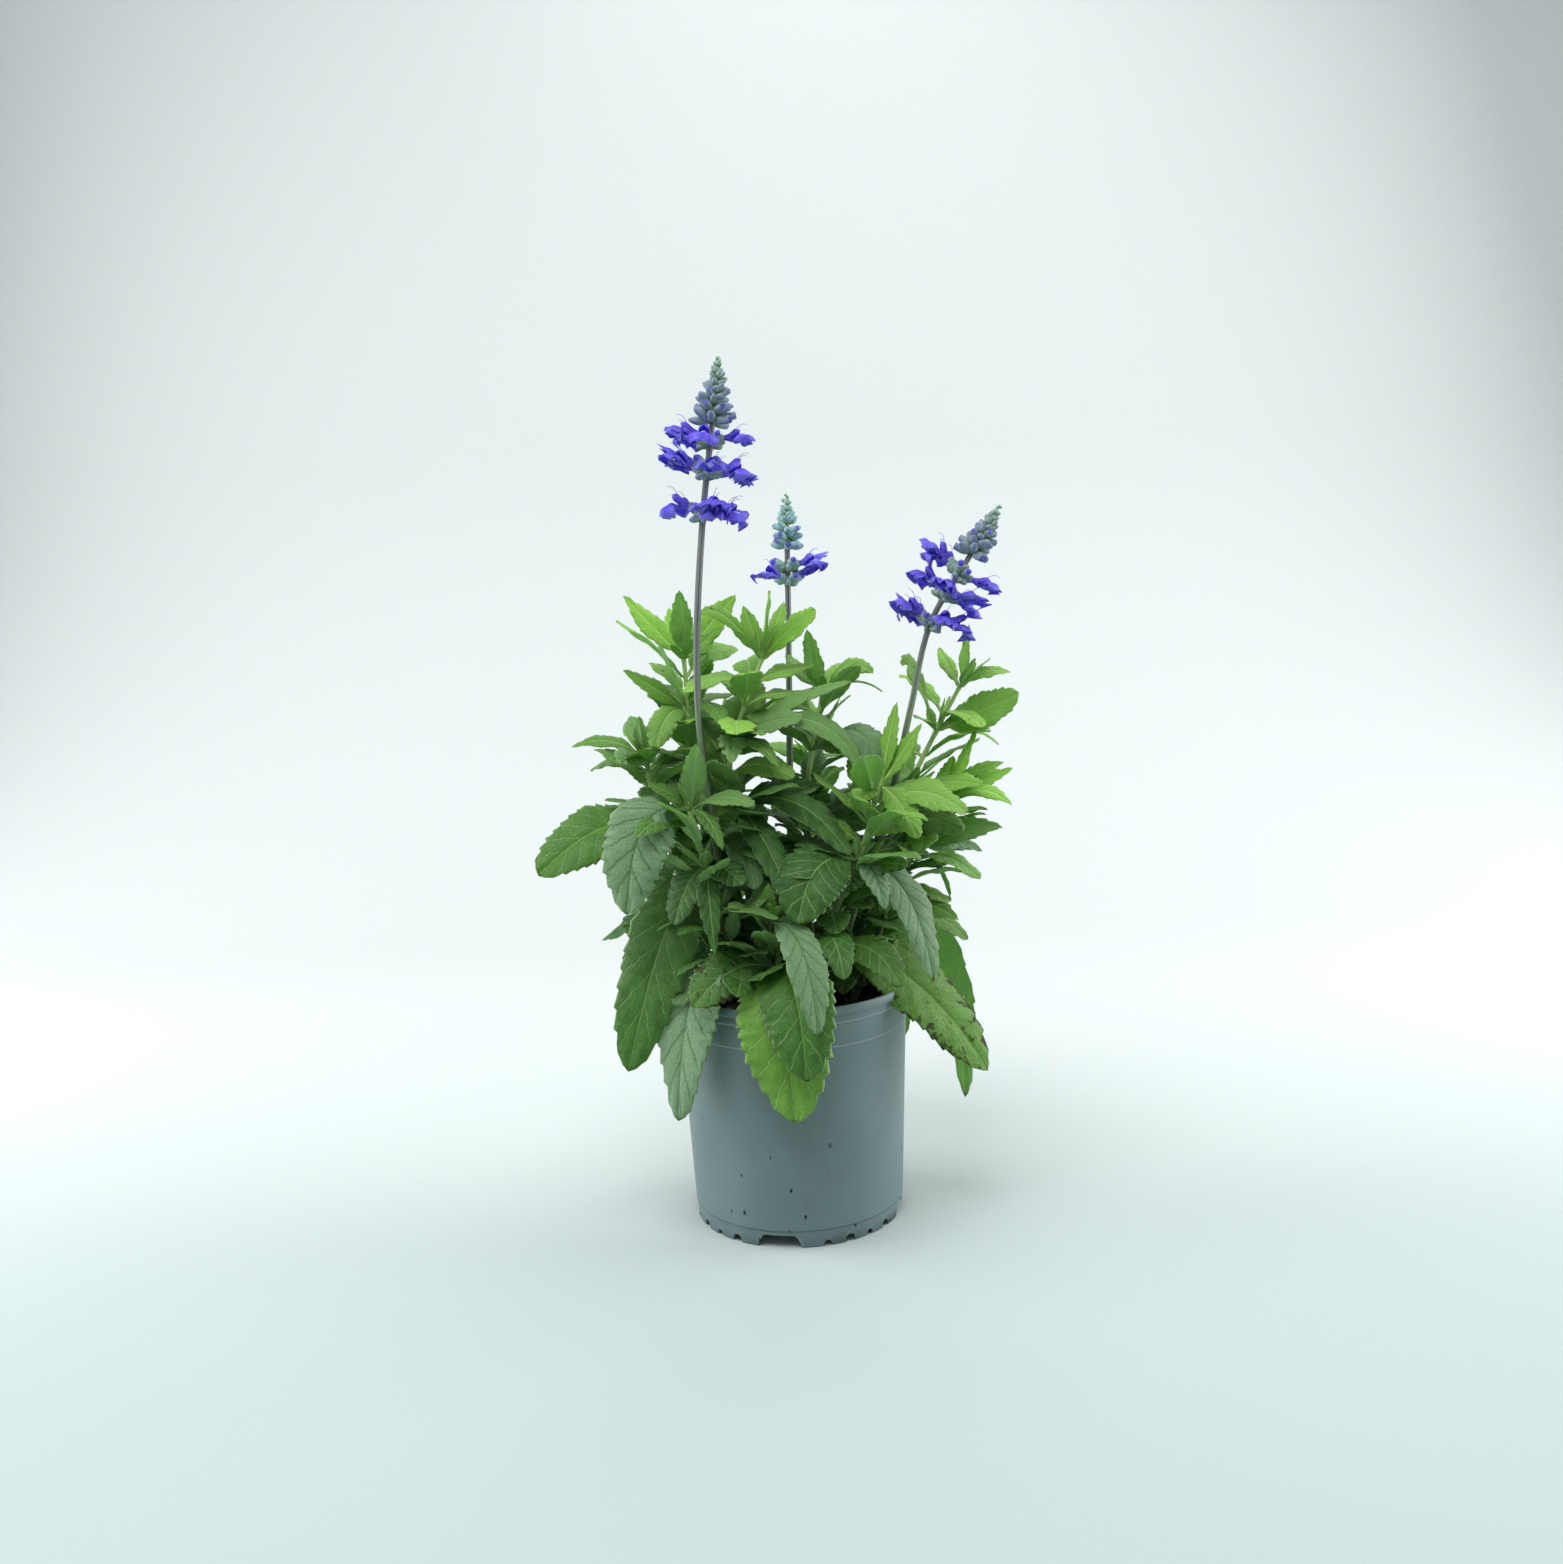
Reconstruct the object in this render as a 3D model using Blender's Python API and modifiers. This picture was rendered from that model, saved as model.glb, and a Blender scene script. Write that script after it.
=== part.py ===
"""A potted mealycup salvia: plastic nursery pot, soil, three flower stalks and leafy side shoots.

The pot's axis is +Z and the origin is where that axis meets the surface that the pot stands on.
Lengths in the lists are millimetres and are turned into metres by MM. Heights in the plant's lists
are measured from the top of the soil, so the plant rises and sinks with it.
"""

import math

import bmesh
import bpy
from mathutils import Matrix, Vector
from mathutils.bvhtree import BVHTree

MM = 0.001
GAP = 0.3 * MM

# Pot, in metres
POT_HEIGHT = 0.120
RIM_RADIUS = 0.060
FOOT_RADIUS = 0.052
WALL = 0.0012
LIP_HEIGHT = 0.0042
LIP_OVERHANG = 0.0010
LEDGE_BELOW_LIP = 0.0042
LEDGE_STEP = 0.0006
BAND_HEIGHT = 0.0200
BAND_STEP = 0.0010
SEAM_HEIGHT = 0.0085
SEAM_STEP = 0.0004
FLOOR_HEIGHT = 0.0055
FOOT_LAND = 0.0016
POT_STEPS = 36

# Notches round the foot and holes through the floor
NOTCH_GROUPS = 4
FIRST_NOTCH = -102.0
NOTCH_TOP_WIDTH = 0.015
NOTCH_FOOT_WIDTH = 0.023
NOTCH_HEIGHT = 0.0055
SMALL_NOTCHES = (26.0, 39.0, 52.0, 65.0)
SMALL_NOTCH_RADII = (0.0013, 0.0020)
DRAIN_HOLES = 6
DRAIN_RADIUS = 0.0035
DRAIN_CIRCLE = 0.036

# Soil
SOIL_BELOW_RIM = 0.012
SOIL_STEPS = 24
SOIL_HEAVE = 0.0010
ROOTED_DEPTH = 0.016

# Stems
STALK_RADIUS = 0.0018
STALK_TIP_RADIUS = 0.0013
SHOOT_RADIUS = 0.0018
SHOOT_TIP_RADIUS = 0.0011
STEM_SIDES_RESOLUTION = 0

# Leaves
COLLAR_WALL = 0.0008
COLLAR_SEGMENTS = 6
LEAF_THICKNESS = 0.0010
PETIOLE_WIDTH = 0.0020
PETIOLE_THICKNESS = 0.0014
LEAF_CLEARANCE = 0.0005
# The rim that the places of the hanging leaves are drawn for
DRAWN_RIM_RADIUS = 0.060
LEAF_FOLD = 14.0
BROAD_LEAF = 0.0145
# Half widths along the blade, as (share of its length, share of the leaf's width)
BROAD_OUTLINE = ((0.14, 0.36), (0.42, 0.50), (0.80, 0.34))
SLIM_OUTLINE = ((0.33, 0.50), (0.74, 0.36))

# Flowers
CALYX_LENGTH = 0.0070
CALYX_RADIUS = 0.0018
COROLLA_REACH = 0.0115
LIP_HALF_WIDTH = 0.0042

SOIL_TOP = POT_HEIGHT - SOIL_BELOW_RIM
BAND_BOTTOM = POT_HEIGHT - BAND_HEIGHT
LIP_BOTTOM = POT_HEIGHT - LIP_HEIGHT
LEDGE_TOP = LIP_BOTTOM - LEDGE_BELOW_LIP


def clear_scene():
    for thing in list(bpy.data.objects):
        bpy.data.objects.remove(thing, do_unlink=True)


def new_collection(name):
    group = bpy.data.collections.new(name)
    bpy.context.scene.collection.children.link(group)
    return group


def make_material(name, colour, roughness):
    material = bpy.data.materials.new(name)
    material.use_nodes = True
    surface = material.node_tree.nodes["Principled BSDF"]
    surface.inputs["Base Color"].default_value = (*colour, 1.0)
    surface.inputs["Roughness"].default_value = roughness
    surface.inputs["Metallic"].default_value = 0.0
    return material


clear_scene()
PARTS = new_collection("potted_salvia")
CUTTERS = new_collection("salvia_cutters")
POT_PLASTIC = make_material("pot_plastic", (0.17, 0.25, 0.27), 0.45)
SOIL_PEAT = make_material("soil_peat", (0.035, 0.024, 0.016), 0.95)
STALK_SKIN = make_material("stalk_skin", (0.10, 0.11, 0.12), 0.60)
SHOOT_SKIN = make_material("shoot_skin", (0.20, 0.38, 0.08), 0.55)
LEAF_GREEN = make_material("leaf_green", (0.06, 0.19, 0.06), 0.50)
YOUNG_LEAF = make_material("young_leaf", (0.17, 0.42, 0.06), 0.50)
FLOWER_BLUE = make_material("flower_blue", (0.07, 0.04, 0.50), 0.55)
BUD_GREY = make_material("bud_grey", (0.19, 0.26, 0.25), 0.75)


def add_object(name, mesh, collection, material=None):
    thing = bpy.data.objects.new(name, mesh)
    collection.objects.link(thing)
    if material:
        mesh.materials.append(material)
    if collection is CUTTERS:
        thing.hide_render = True
        thing.display_type = "WIRE"
    return thing


def mesh_from(shape, name):
    bmesh.ops.recalc_face_normals(shape, faces=shape.faces)
    mesh = bpy.data.meshes.new(name)
    shape.to_mesh(mesh)
    shape.free()
    return mesh


def turned(name, profile, steps, collection, material=None):
    """A profile of (radius, height) points, from the axis out and back to it, turned about Z."""
    mesh = bpy.data.meshes.new(name)
    corners = [(radius, 0.0, height) for radius, height in profile]
    mesh.from_pydata(corners, [(i, i + 1) for i in range(len(corners) - 1)], [])
    thing = add_object(name, mesh, collection, material)
    screw = thing.modifiers.new("turn", "SCREW")
    screw.steps = steps
    screw.render_steps = steps
    screw.use_merge_vertices = True
    screw.merge_threshold = 0.00001
    return thing


def loft(stations):
    """A closed bmesh through rings of corners. A ring of one corner closes an end to a point."""
    shape = bmesh.new()
    rings = [[shape.verts.new(corner) for corner in ring] for ring in stations]
    for lower, upper in zip(rings, rings[1:]):
        count = max(len(lower), len(upper))
        for i in range(count):
            j = (i + 1) % count
            corners = [lower[i % len(lower)], lower[j % len(lower)]]
            corners += [upper[j % len(upper)], upper[i % len(upper)]]
            shape.faces.new(list(dict.fromkeys(corners)))
    for ring in (rings[0], rings[-1]):
        if len(ring) > 2:
            shape.faces.new(ring)
    bmesh.ops.recalc_face_normals(shape, faces=shape.faces)
    return shape


def oval(centre, side, rise, sides):
    turns = [2 * math.pi * i / sides for i in range(sides)]
    return [centre + side * math.cos(turn) + rise * math.sin(turn) for turn in turns]


def joined(name, shapes, material):
    """One solid from overlapping closed shapes: the first carries a Boolean union of the others."""
    meshes = [mesh_from(shape, name) for shape in shapes]
    base = add_object(name, meshes[0], PARTS, material)
    if len(meshes) > 1:
        others = bpy.data.collections.new(name + "_joined")
        CUTTERS.children.link(others)
        for number, mesh in enumerate(meshes[1:]):
            other = bpy.data.objects.new(f"{name}_add_{number}", mesh)
            other.hide_render = True
            other.display_type = "WIRE"
            others.objects.link(other)
        union = base.modifiers.new("join", "BOOLEAN")
        union.operation = "UNION"
        union.solver = "EXACT"
        union.operand_type = "COLLECTION"
        union.collection = others
        union.use_self = True
    return base


# ---------------------------------------------------------------- pot


def wall_radius(height):
    """The outer wall below the band, between the seam and the band's foot."""
    share = (height - SEAM_HEIGHT) / (BAND_BOTTOM - SEAM_HEIGHT)
    low = FOOT_RADIUS + SEAM_STEP * 3
    high = RIM_RADIUS - LIP_OVERHANG - LEDGE_STEP - BAND_STEP
    return low + (high - low) * share


def pot_profile():
    floor_top = FLOOR_HEIGHT + WALL
    band = RIM_RADIUS - LIP_OVERHANG - LEDGE_STEP
    inside = [
        (0.0, floor_top),
        (wall_radius(floor_top) - 2 * WALL, floor_top),
        (wall_radius(floor_top) - WALL, floor_top + WALL),
        (wall_radius(BAND_BOTTOM) - WALL, BAND_BOTTOM),
        (band - WALL, BAND_BOTTOM + WALL),
        (band - WALL + LEDGE_STEP, LEDGE_TOP),
        (band - WALL + LEDGE_STEP, POT_HEIGHT - WALL / 2),
        (band - WALL / 2 + LEDGE_STEP, POT_HEIGHT),
    ]
    outside = [
        (RIM_RADIUS - WALL / 3, POT_HEIGHT),
        (RIM_RADIUS, POT_HEIGHT - WALL / 2),
        (RIM_RADIUS, LIP_BOTTOM + WALL / 3),
        (RIM_RADIUS - LIP_OVERHANG, LIP_BOTTOM - WALL / 4),
        (band + LEDGE_STEP, LEDGE_TOP + LEDGE_STEP / 2),
        (band, LEDGE_TOP - LEDGE_STEP / 2),
        (band, BAND_BOTTOM + BAND_STEP),
        (band - BAND_STEP, BAND_BOTTOM),
        (wall_radius(SEAM_HEIGHT), SEAM_HEIGHT),
        (wall_radius(SEAM_HEIGHT) - SEAM_STEP, SEAM_HEIGHT - SEAM_STEP),
        (FOOT_RADIUS, 0.0),
        (FOOT_RADIUS - FOOT_LAND, 0.0),
        (FOOT_RADIUS - FOOT_LAND, FLOOR_HEIGHT),
        (0.0, FLOOR_HEIGHT),
    ]
    return inside + outside


def radial_cutter(name, outline, turn):
    """A prism of an (across, height) outline that cuts the foot ring at a turn about Z."""
    near = FOOT_RADIUS - 3 * FOOT_LAND
    far = FOOT_RADIUS + 2 * FOOT_LAND
    rings = [[Vector((across, out, height)) for across, height in outline] for out in (near, far)]
    cutter = add_object(name, mesh_from(loft(rings), name), PARTS)
    PARTS.objects.unlink(cutter)
    cutter.hide_render = True
    cutter.display_type = "WIRE"
    cutter.rotation_euler = (0.0, 0.0, math.radians(turn) - math.pi / 2)
    return cutter


def foot_cutters():
    below = -0.002
    half_top = NOTCH_TOP_WIDTH / 2
    half_foot = NOTCH_FOOT_WIDTH / 2
    slope = (half_foot - half_top) / NOTCH_HEIGHT
    half_below = half_foot - slope * below
    large = [(-half_below, below), (half_below, below), (half_top, NOTCH_HEIGHT), (-half_top, NOTCH_HEIGHT)]
    cutters = []
    for group in range(NOTCH_GROUPS):
        start = FIRST_NOTCH + group * 360.0 / NOTCH_GROUPS
        cutters.append(radial_cutter(f"notch_large_{group}", large, start))
        for number, offset in enumerate(SMALL_NOTCHES):
            radius = SMALL_NOTCH_RADII[number % 2]
            arch = [(-radius, below), (radius, below)]
            arch += [
                (radius * math.cos(math.radians(a)), radius * (1 + math.sin(math.radians(a))))
                for a in (0, 45, 90, 135, 180)
            ]
            cutters.append(radial_cutter(f"notch_small_{group}_{number}", arch, start + offset))
    return cutters


def make_pot():
    pot = turned("plastic_pot", pot_profile(), POT_STEPS, PARTS, POT_PLASTIC)
    group = bpy.data.collections.new("pot_cuts")
    CUTTERS.children.link(group)
    for cutter in foot_cutters():
        group.objects.link(cutter)
    for number in range(DRAIN_HOLES):
        turn = 2 * math.pi * (number + 0.5) / DRAIN_HOLES
        drill = bmesh.new()
        bmesh.ops.create_cone(
            drill,
            cap_ends=True,
            segments=10,
            radius1=DRAIN_RADIUS,
            radius2=DRAIN_RADIUS,
            depth=6 * WALL,
        )
        hole = bpy.data.objects.new(f"drain_{number}", mesh_from(drill, "drain"))
        hole.location = (
            DRAIN_CIRCLE * math.cos(turn),
            DRAIN_CIRCLE * math.sin(turn),
            FLOOR_HEIGHT + WALL / 2,
        )
        hole.hide_render = True
        hole.display_type = "WIRE"
        group.objects.link(hole)
    cut = pot.modifiers.new("notches and drains", "BOOLEAN")
    cut.operation = "DIFFERENCE"
    cut.solver = "EXACT"
    cut.operand_type = "COLLECTION"
    cut.collection = group
    return pot


# ---------------------------------------------------------------- stems

# Each route lists (x, y, height above the soil) from the soil to the tip.
STALK_ROUTES = {
    "left": [
        (-24, -4, 0), (-31, -14, 60), (-38, -23, 130), (-38, -26, 180), (-33, -25, 235), (-26, -22, 284),
    ],
    "middle": [(1, 9, 0), (2, 24, 60), (4, 33, 120), (6, 38, 185), (7, 40, 226)],
    "right": [(18, -7, 0), (33, -12, 50), (52, -13, 104), (63, -11, 146), (74, -7, 186), (95, -4, 219)],
}

SHOOT_ROUTES = {
    "top_left": [(-31, 6, 0), (-38, 9, 60), (-44, 12, 120), (-47, 15, 176)],
    "centre": [(-12, -3, 0), (-20, -4, 60), (-26, -4, 118), (-17, 1, 150), (-7, 4, 174)],
    "centre_right": [(8, 0, 0), (10, 4, 60), (13, 14, 112), (22, 20, 154)],
    "right": [(26, 6, 0), (42, 8, 50), (60, 11, 98), (78, 15, 132), (91, 18, 154)],
    "right_low": [(31, -2, 0), (47, 0, 38), (63, 5, 70), (80, 10, 96)],
    "low_centre": [(-8, -19, 0), (-8, -29, 26), (-10, -36, 50)],
    "left": [(-37, -7, 0), (-50, -8, 55), (-61, -5, 98), (-68, 0, 128)],
    "left_front": [(-21, -20, 0), (-30, -28, 40), (-38, -32, 75), (-45, -33, 106)],
    "right_front": [(7, -16, 0), (18, -24, 40), (35, -29, 78), (46, -27, 112)],
    "back_left": [(-16, 17, 0), (-28, 34, 60), (-38, 46, 115)],
    "back": [(8, 22, 0), (12, 44, 60), (16, 58, 112)],
    "back_right": [(22, 17, 0), (42, 36, 50), (58, 46, 90)],
}

SAMPLES_PER_SPAN = 4


def plant_point(x, y, height):
    return Vector((x * MM, y * MM, SOIL_TOP + height * MM))


def smooth_route(points):
    """Points on a Catmull-Rom curve through the route's own points."""
    spots = [plant_point(*point) for point in points]
    spots = [2 * spots[0] - spots[1]] + spots + [2 * spots[-1] - spots[-2]]
    line = []
    for i in range(1, len(spots) - 2):
        a, b, c, d = spots[i - 1 : i + 3]
        for step in range(SAMPLES_PER_SPAN):
            t = step / SAMPLES_PER_SPAN
            bend = (2 * a - 5 * b + 4 * c - d) * t * t + (3 * b - a - 3 * c + d) * t * t * t
            line.append(b + ((c - a) * t + bend) / 2)
    return line + [spots[-2]]


class Stem:
    """A tapered stem that starts in the soil and follows a smooth route."""

    def __init__(self, name, route, foot_radius, tip_radius, material):
        self.name = name
        self.foot_radius = foot_radius
        self.tip_radius = tip_radius
        self.line = smooth_route(route)
        self.root = self.line[0] - Vector((0, 0, ROOTED_DEPTH))
        self.material = material

    def at(self, height):
        """Position, direction and radius where the stem reaches a height above the soil."""
        wanted = SOIL_TOP + height * MM
        for low, high in zip(self.line, self.line[1:]):
            if high.z >= wanted:
                break
        share = (wanted - low.z) / (high.z - low.z)
        spot = low.lerp(high, min(share, 1.0))
        along = (wanted - SOIL_TOP) / (self.line[-1].z - SOIL_TOP)
        radius = self.foot_radius + (self.tip_radius - self.foot_radius) * along
        return spot, (high - low).normalized(), radius

    def make(self):
        curve = bpy.data.curves.new(self.name, "CURVE")
        curve.dimensions = "3D"
        curve.bevel_depth = 1.0
        curve.bevel_resolution = STEM_SIDES_RESOLUTION
        curve.resolution_u = 1
        curve.use_fill_caps = True
        spline = curve.splines.new("POLY")
        points = [self.root] + self.line
        spline.points.add(len(points) - 1)
        for number, (corner, spot) in enumerate(zip(spline.points, points)):
            share = max(number - 1, 0) / (len(points) - 2)
            corner.co = (*spot, 1.0)
            corner.radius = self.foot_radius + (self.tip_radius - self.foot_radius) * share
        guide = bpy.data.objects.new(self.name + "_guide", curve)
        bpy.context.scene.collection.objects.link(guide)
        bpy.context.view_layer.update()
        graph = bpy.context.evaluated_depsgraph_get()
        mesh = bpy.data.meshes.new_from_object(guide.evaluated_get(graph))
        bpy.data.objects.remove(guide, do_unlink=True)
        bpy.data.curves.remove(curve)
        shape = bmesh.new()
        shape.from_mesh(mesh)
        bpy.data.meshes.remove(mesh)
        bmesh.ops.remove_doubles(shape, verts=shape.verts, dist=0.00001)
        remember(shape, self.name)
        return add_object(self.name, mesh_from(shape, self.name), PARTS, self.material)


# ---------------------------------------------------------------- clearances

PLACED = []


class Placed:
    """A shape that is already in place, with the node it belongs to."""

    def __init__(self, shape, node, blade=None):
        self.node = node
        self.tree = BVHTree.FromBMesh(shape)
        self.blade = BVHTree.FromBMesh(blade) if blade else None
        spots = [corner.co for corner in shape.verts]
        self.low = [min(spot[i] for spot in spots) for i in range(3)]
        self.high = [max(spot[i] for spot in spots) for i in range(3)]

    def near(self, other):
        return all(self.low[i] < other.high[i] and other.low[i] < self.high[i] for i in range(3))


def remember(shape, node, blade=None):
    PLACED.append(Placed(shape, node, blade))


def is_clear(full, blade, node, stem_name):
    """Whether a grown copy of a leaf misses every shape that is in place."""
    trial = Placed(full, node, blade)
    for other in PLACED:
        if not trial.near(other):
            continue
        if other.node in (node, stem_name):
            against = other.blade or (other.tree if other.node == stem_name else None)
            if against and trial.blade.overlap(against):
                return False
        elif trial.tree.overlap(other.tree):
            return False
    return True


# ---------------------------------------------------------------- leaves


class Leaf:
    """A leaf from a stem's node to its tip: petiole, then a blade folded a little along the midrib."""

    def __init__(self, tip, width, arch=0.18, roll=0.0, petiole=0.14):
        self.tip = tip
        self.width = width * MM
        self.arch = arch
        self.roll = roll
        self.petiole = petiole

    def moved(self, node_spot, turn, lift, reach):
        """The same leaf turned about the stem, lifted and shortened by small steps."""
        offset = (self.tip - node_spot) * reach
        offset = Matrix.Rotation(math.radians(turn), 3, "Z") @ offset
        tip = node_spot + offset + Vector((0, 0, lift * offset.length))
        leaf = Leaf(tip, 0, self.arch, self.roll, self.petiole)
        leaf.width = self.width * reach
        return leaf

    def midrib(self, foot, share):
        """Point and direction on the midrib, a quadratic curve pulled up by the arch."""
        span = self.tip - foot
        throw = 0.42 + 0.5 * min(max(self.arch - 0.3, 0.0) / 0.5, 1.0)
        pull = foot + span * throw + Vector((0, 0, self.arch * span.length))
        point = foot.lerp(pull, share).lerp(pull.lerp(self.tip, share), share)
        along = (pull - foot).lerp(self.tip - pull, share)
        return point, along.normalized()

    def shapes(self, node_spot, stem_way, collar_radius, grow=0.0):
        """The whole leaf and its blade alone as closed shapes, grown all round by a clearance."""
        out = Vector((self.tip.x - node_spot.x, self.tip.y - node_spot.y, 0)).normalized()
        foot = node_spot + (out - stem_way * out.dot(stem_way)).normalized() * collar_radius
        side = Vector((0, 0, 1)).cross(out)
        p = self.petiole
        rows = [
            (0.0, PETIOLE_WIDTH / 2, PETIOLE_THICKNESS / 2, 0.0, 0.0),
            (p, PETIOLE_WIDTH / 2, PETIOLE_THICKNESS / 2, 1.0, 0.3),
        ]
        outline = BROAD_OUTLINE if self.width > BROAD_LEAF else SLIM_OUTLINE
        for share, wide in outline:
            rows.append((p + (1 - p) * share, self.width * wide, LEAF_THICKNESS / 2, 1.0, 1.0))
        rings = []
        for share, half_width, half_thick, rolled, folded in rows:
            point, along = self.midrib(foot, share)
            level = Matrix.Rotation(math.radians(self.roll * rolled), 3, along) @ side
            face = along.cross(level)
            fold = math.radians(LEAF_FOLD * folded)
            half = half_width + grow
            lift = face * half * math.sin(fold)
            wide = level * half * math.cos(fold)
            thick = face * (half_thick + grow)
            rings.append([point - wide + lift, point - thick, point + wide + lift, point + thick])
        end = [self.tip + (self.tip - foot).normalized() * grow]
        return loft(rings + [end]), loft(rings[1:] + [end])


LADDER = [(0, 0.0, 1.0)]
for size in (1.0, 0.9, 0.8):
    for raise_by in (0.0, 0.10, -0.10, 0.20, -0.20, 0.35, -0.35):
        for swing in (0, 7, -7, 14, -14, 22, -22, 32, -32, 45, -45):
            LADDER.append((swing, raise_by, size))


def settle(leaf, node, stem_name, spot, stem_way, collar_radius):
    """The first of a fixed row of small changes to the leaf that keeps it off everything in place."""
    for turn, lift, reach in LADDER:
        trial = leaf.moved(spot, turn, lift, reach)
        full, blade = trial.shapes(spot, stem_way, collar_radius, LEAF_CLEARANCE)
        clear = is_clear(full, blade, node, stem_name)
        full.free()
        blade.free()
        if clear:
            break
    return trial


def collar(spot, along, radius, wall=COLLAR_WALL):
    """A thin ring round a stem, and the radius of its middle line."""
    flats = math.cos(math.pi / COLLAR_SEGMENTS)
    middle = (radius + GAP) / flats + wall
    facing = along.to_track_quat("Z", "Y")
    rings = []
    for i in range(COLLAR_SEGMENTS):
        turn = 2 * math.pi * i / COLLAR_SEGMENTS
        out = facing @ Vector((math.cos(turn), math.sin(turn), 0))
        ring = []
        for corner in range(4):
            angle = corner * math.pi / 2
            reach = middle + wall * math.cos(angle)
            ring.append(spot + out * reach + along * (1.3 * wall * math.sin(angle)))
        rings.append(ring)
    shape = bmesh.new()
    corners = [[shape.verts.new(corner) for corner in ring] for ring in rings]
    for i in range(COLLAR_SEGMENTS):
        first, second = corners[i], corners[(i + 1) % COLLAR_SEGMENTS]
        for j in range(4):
            k = (j + 1) % 4
            shape.faces.new([first[j], first[k], second[k], second[j]])
    bmesh.ops.recalc_face_normals(shape, faces=shape.faces)
    return shape, middle


# ---------------------------------------------------------------- foliage

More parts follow.
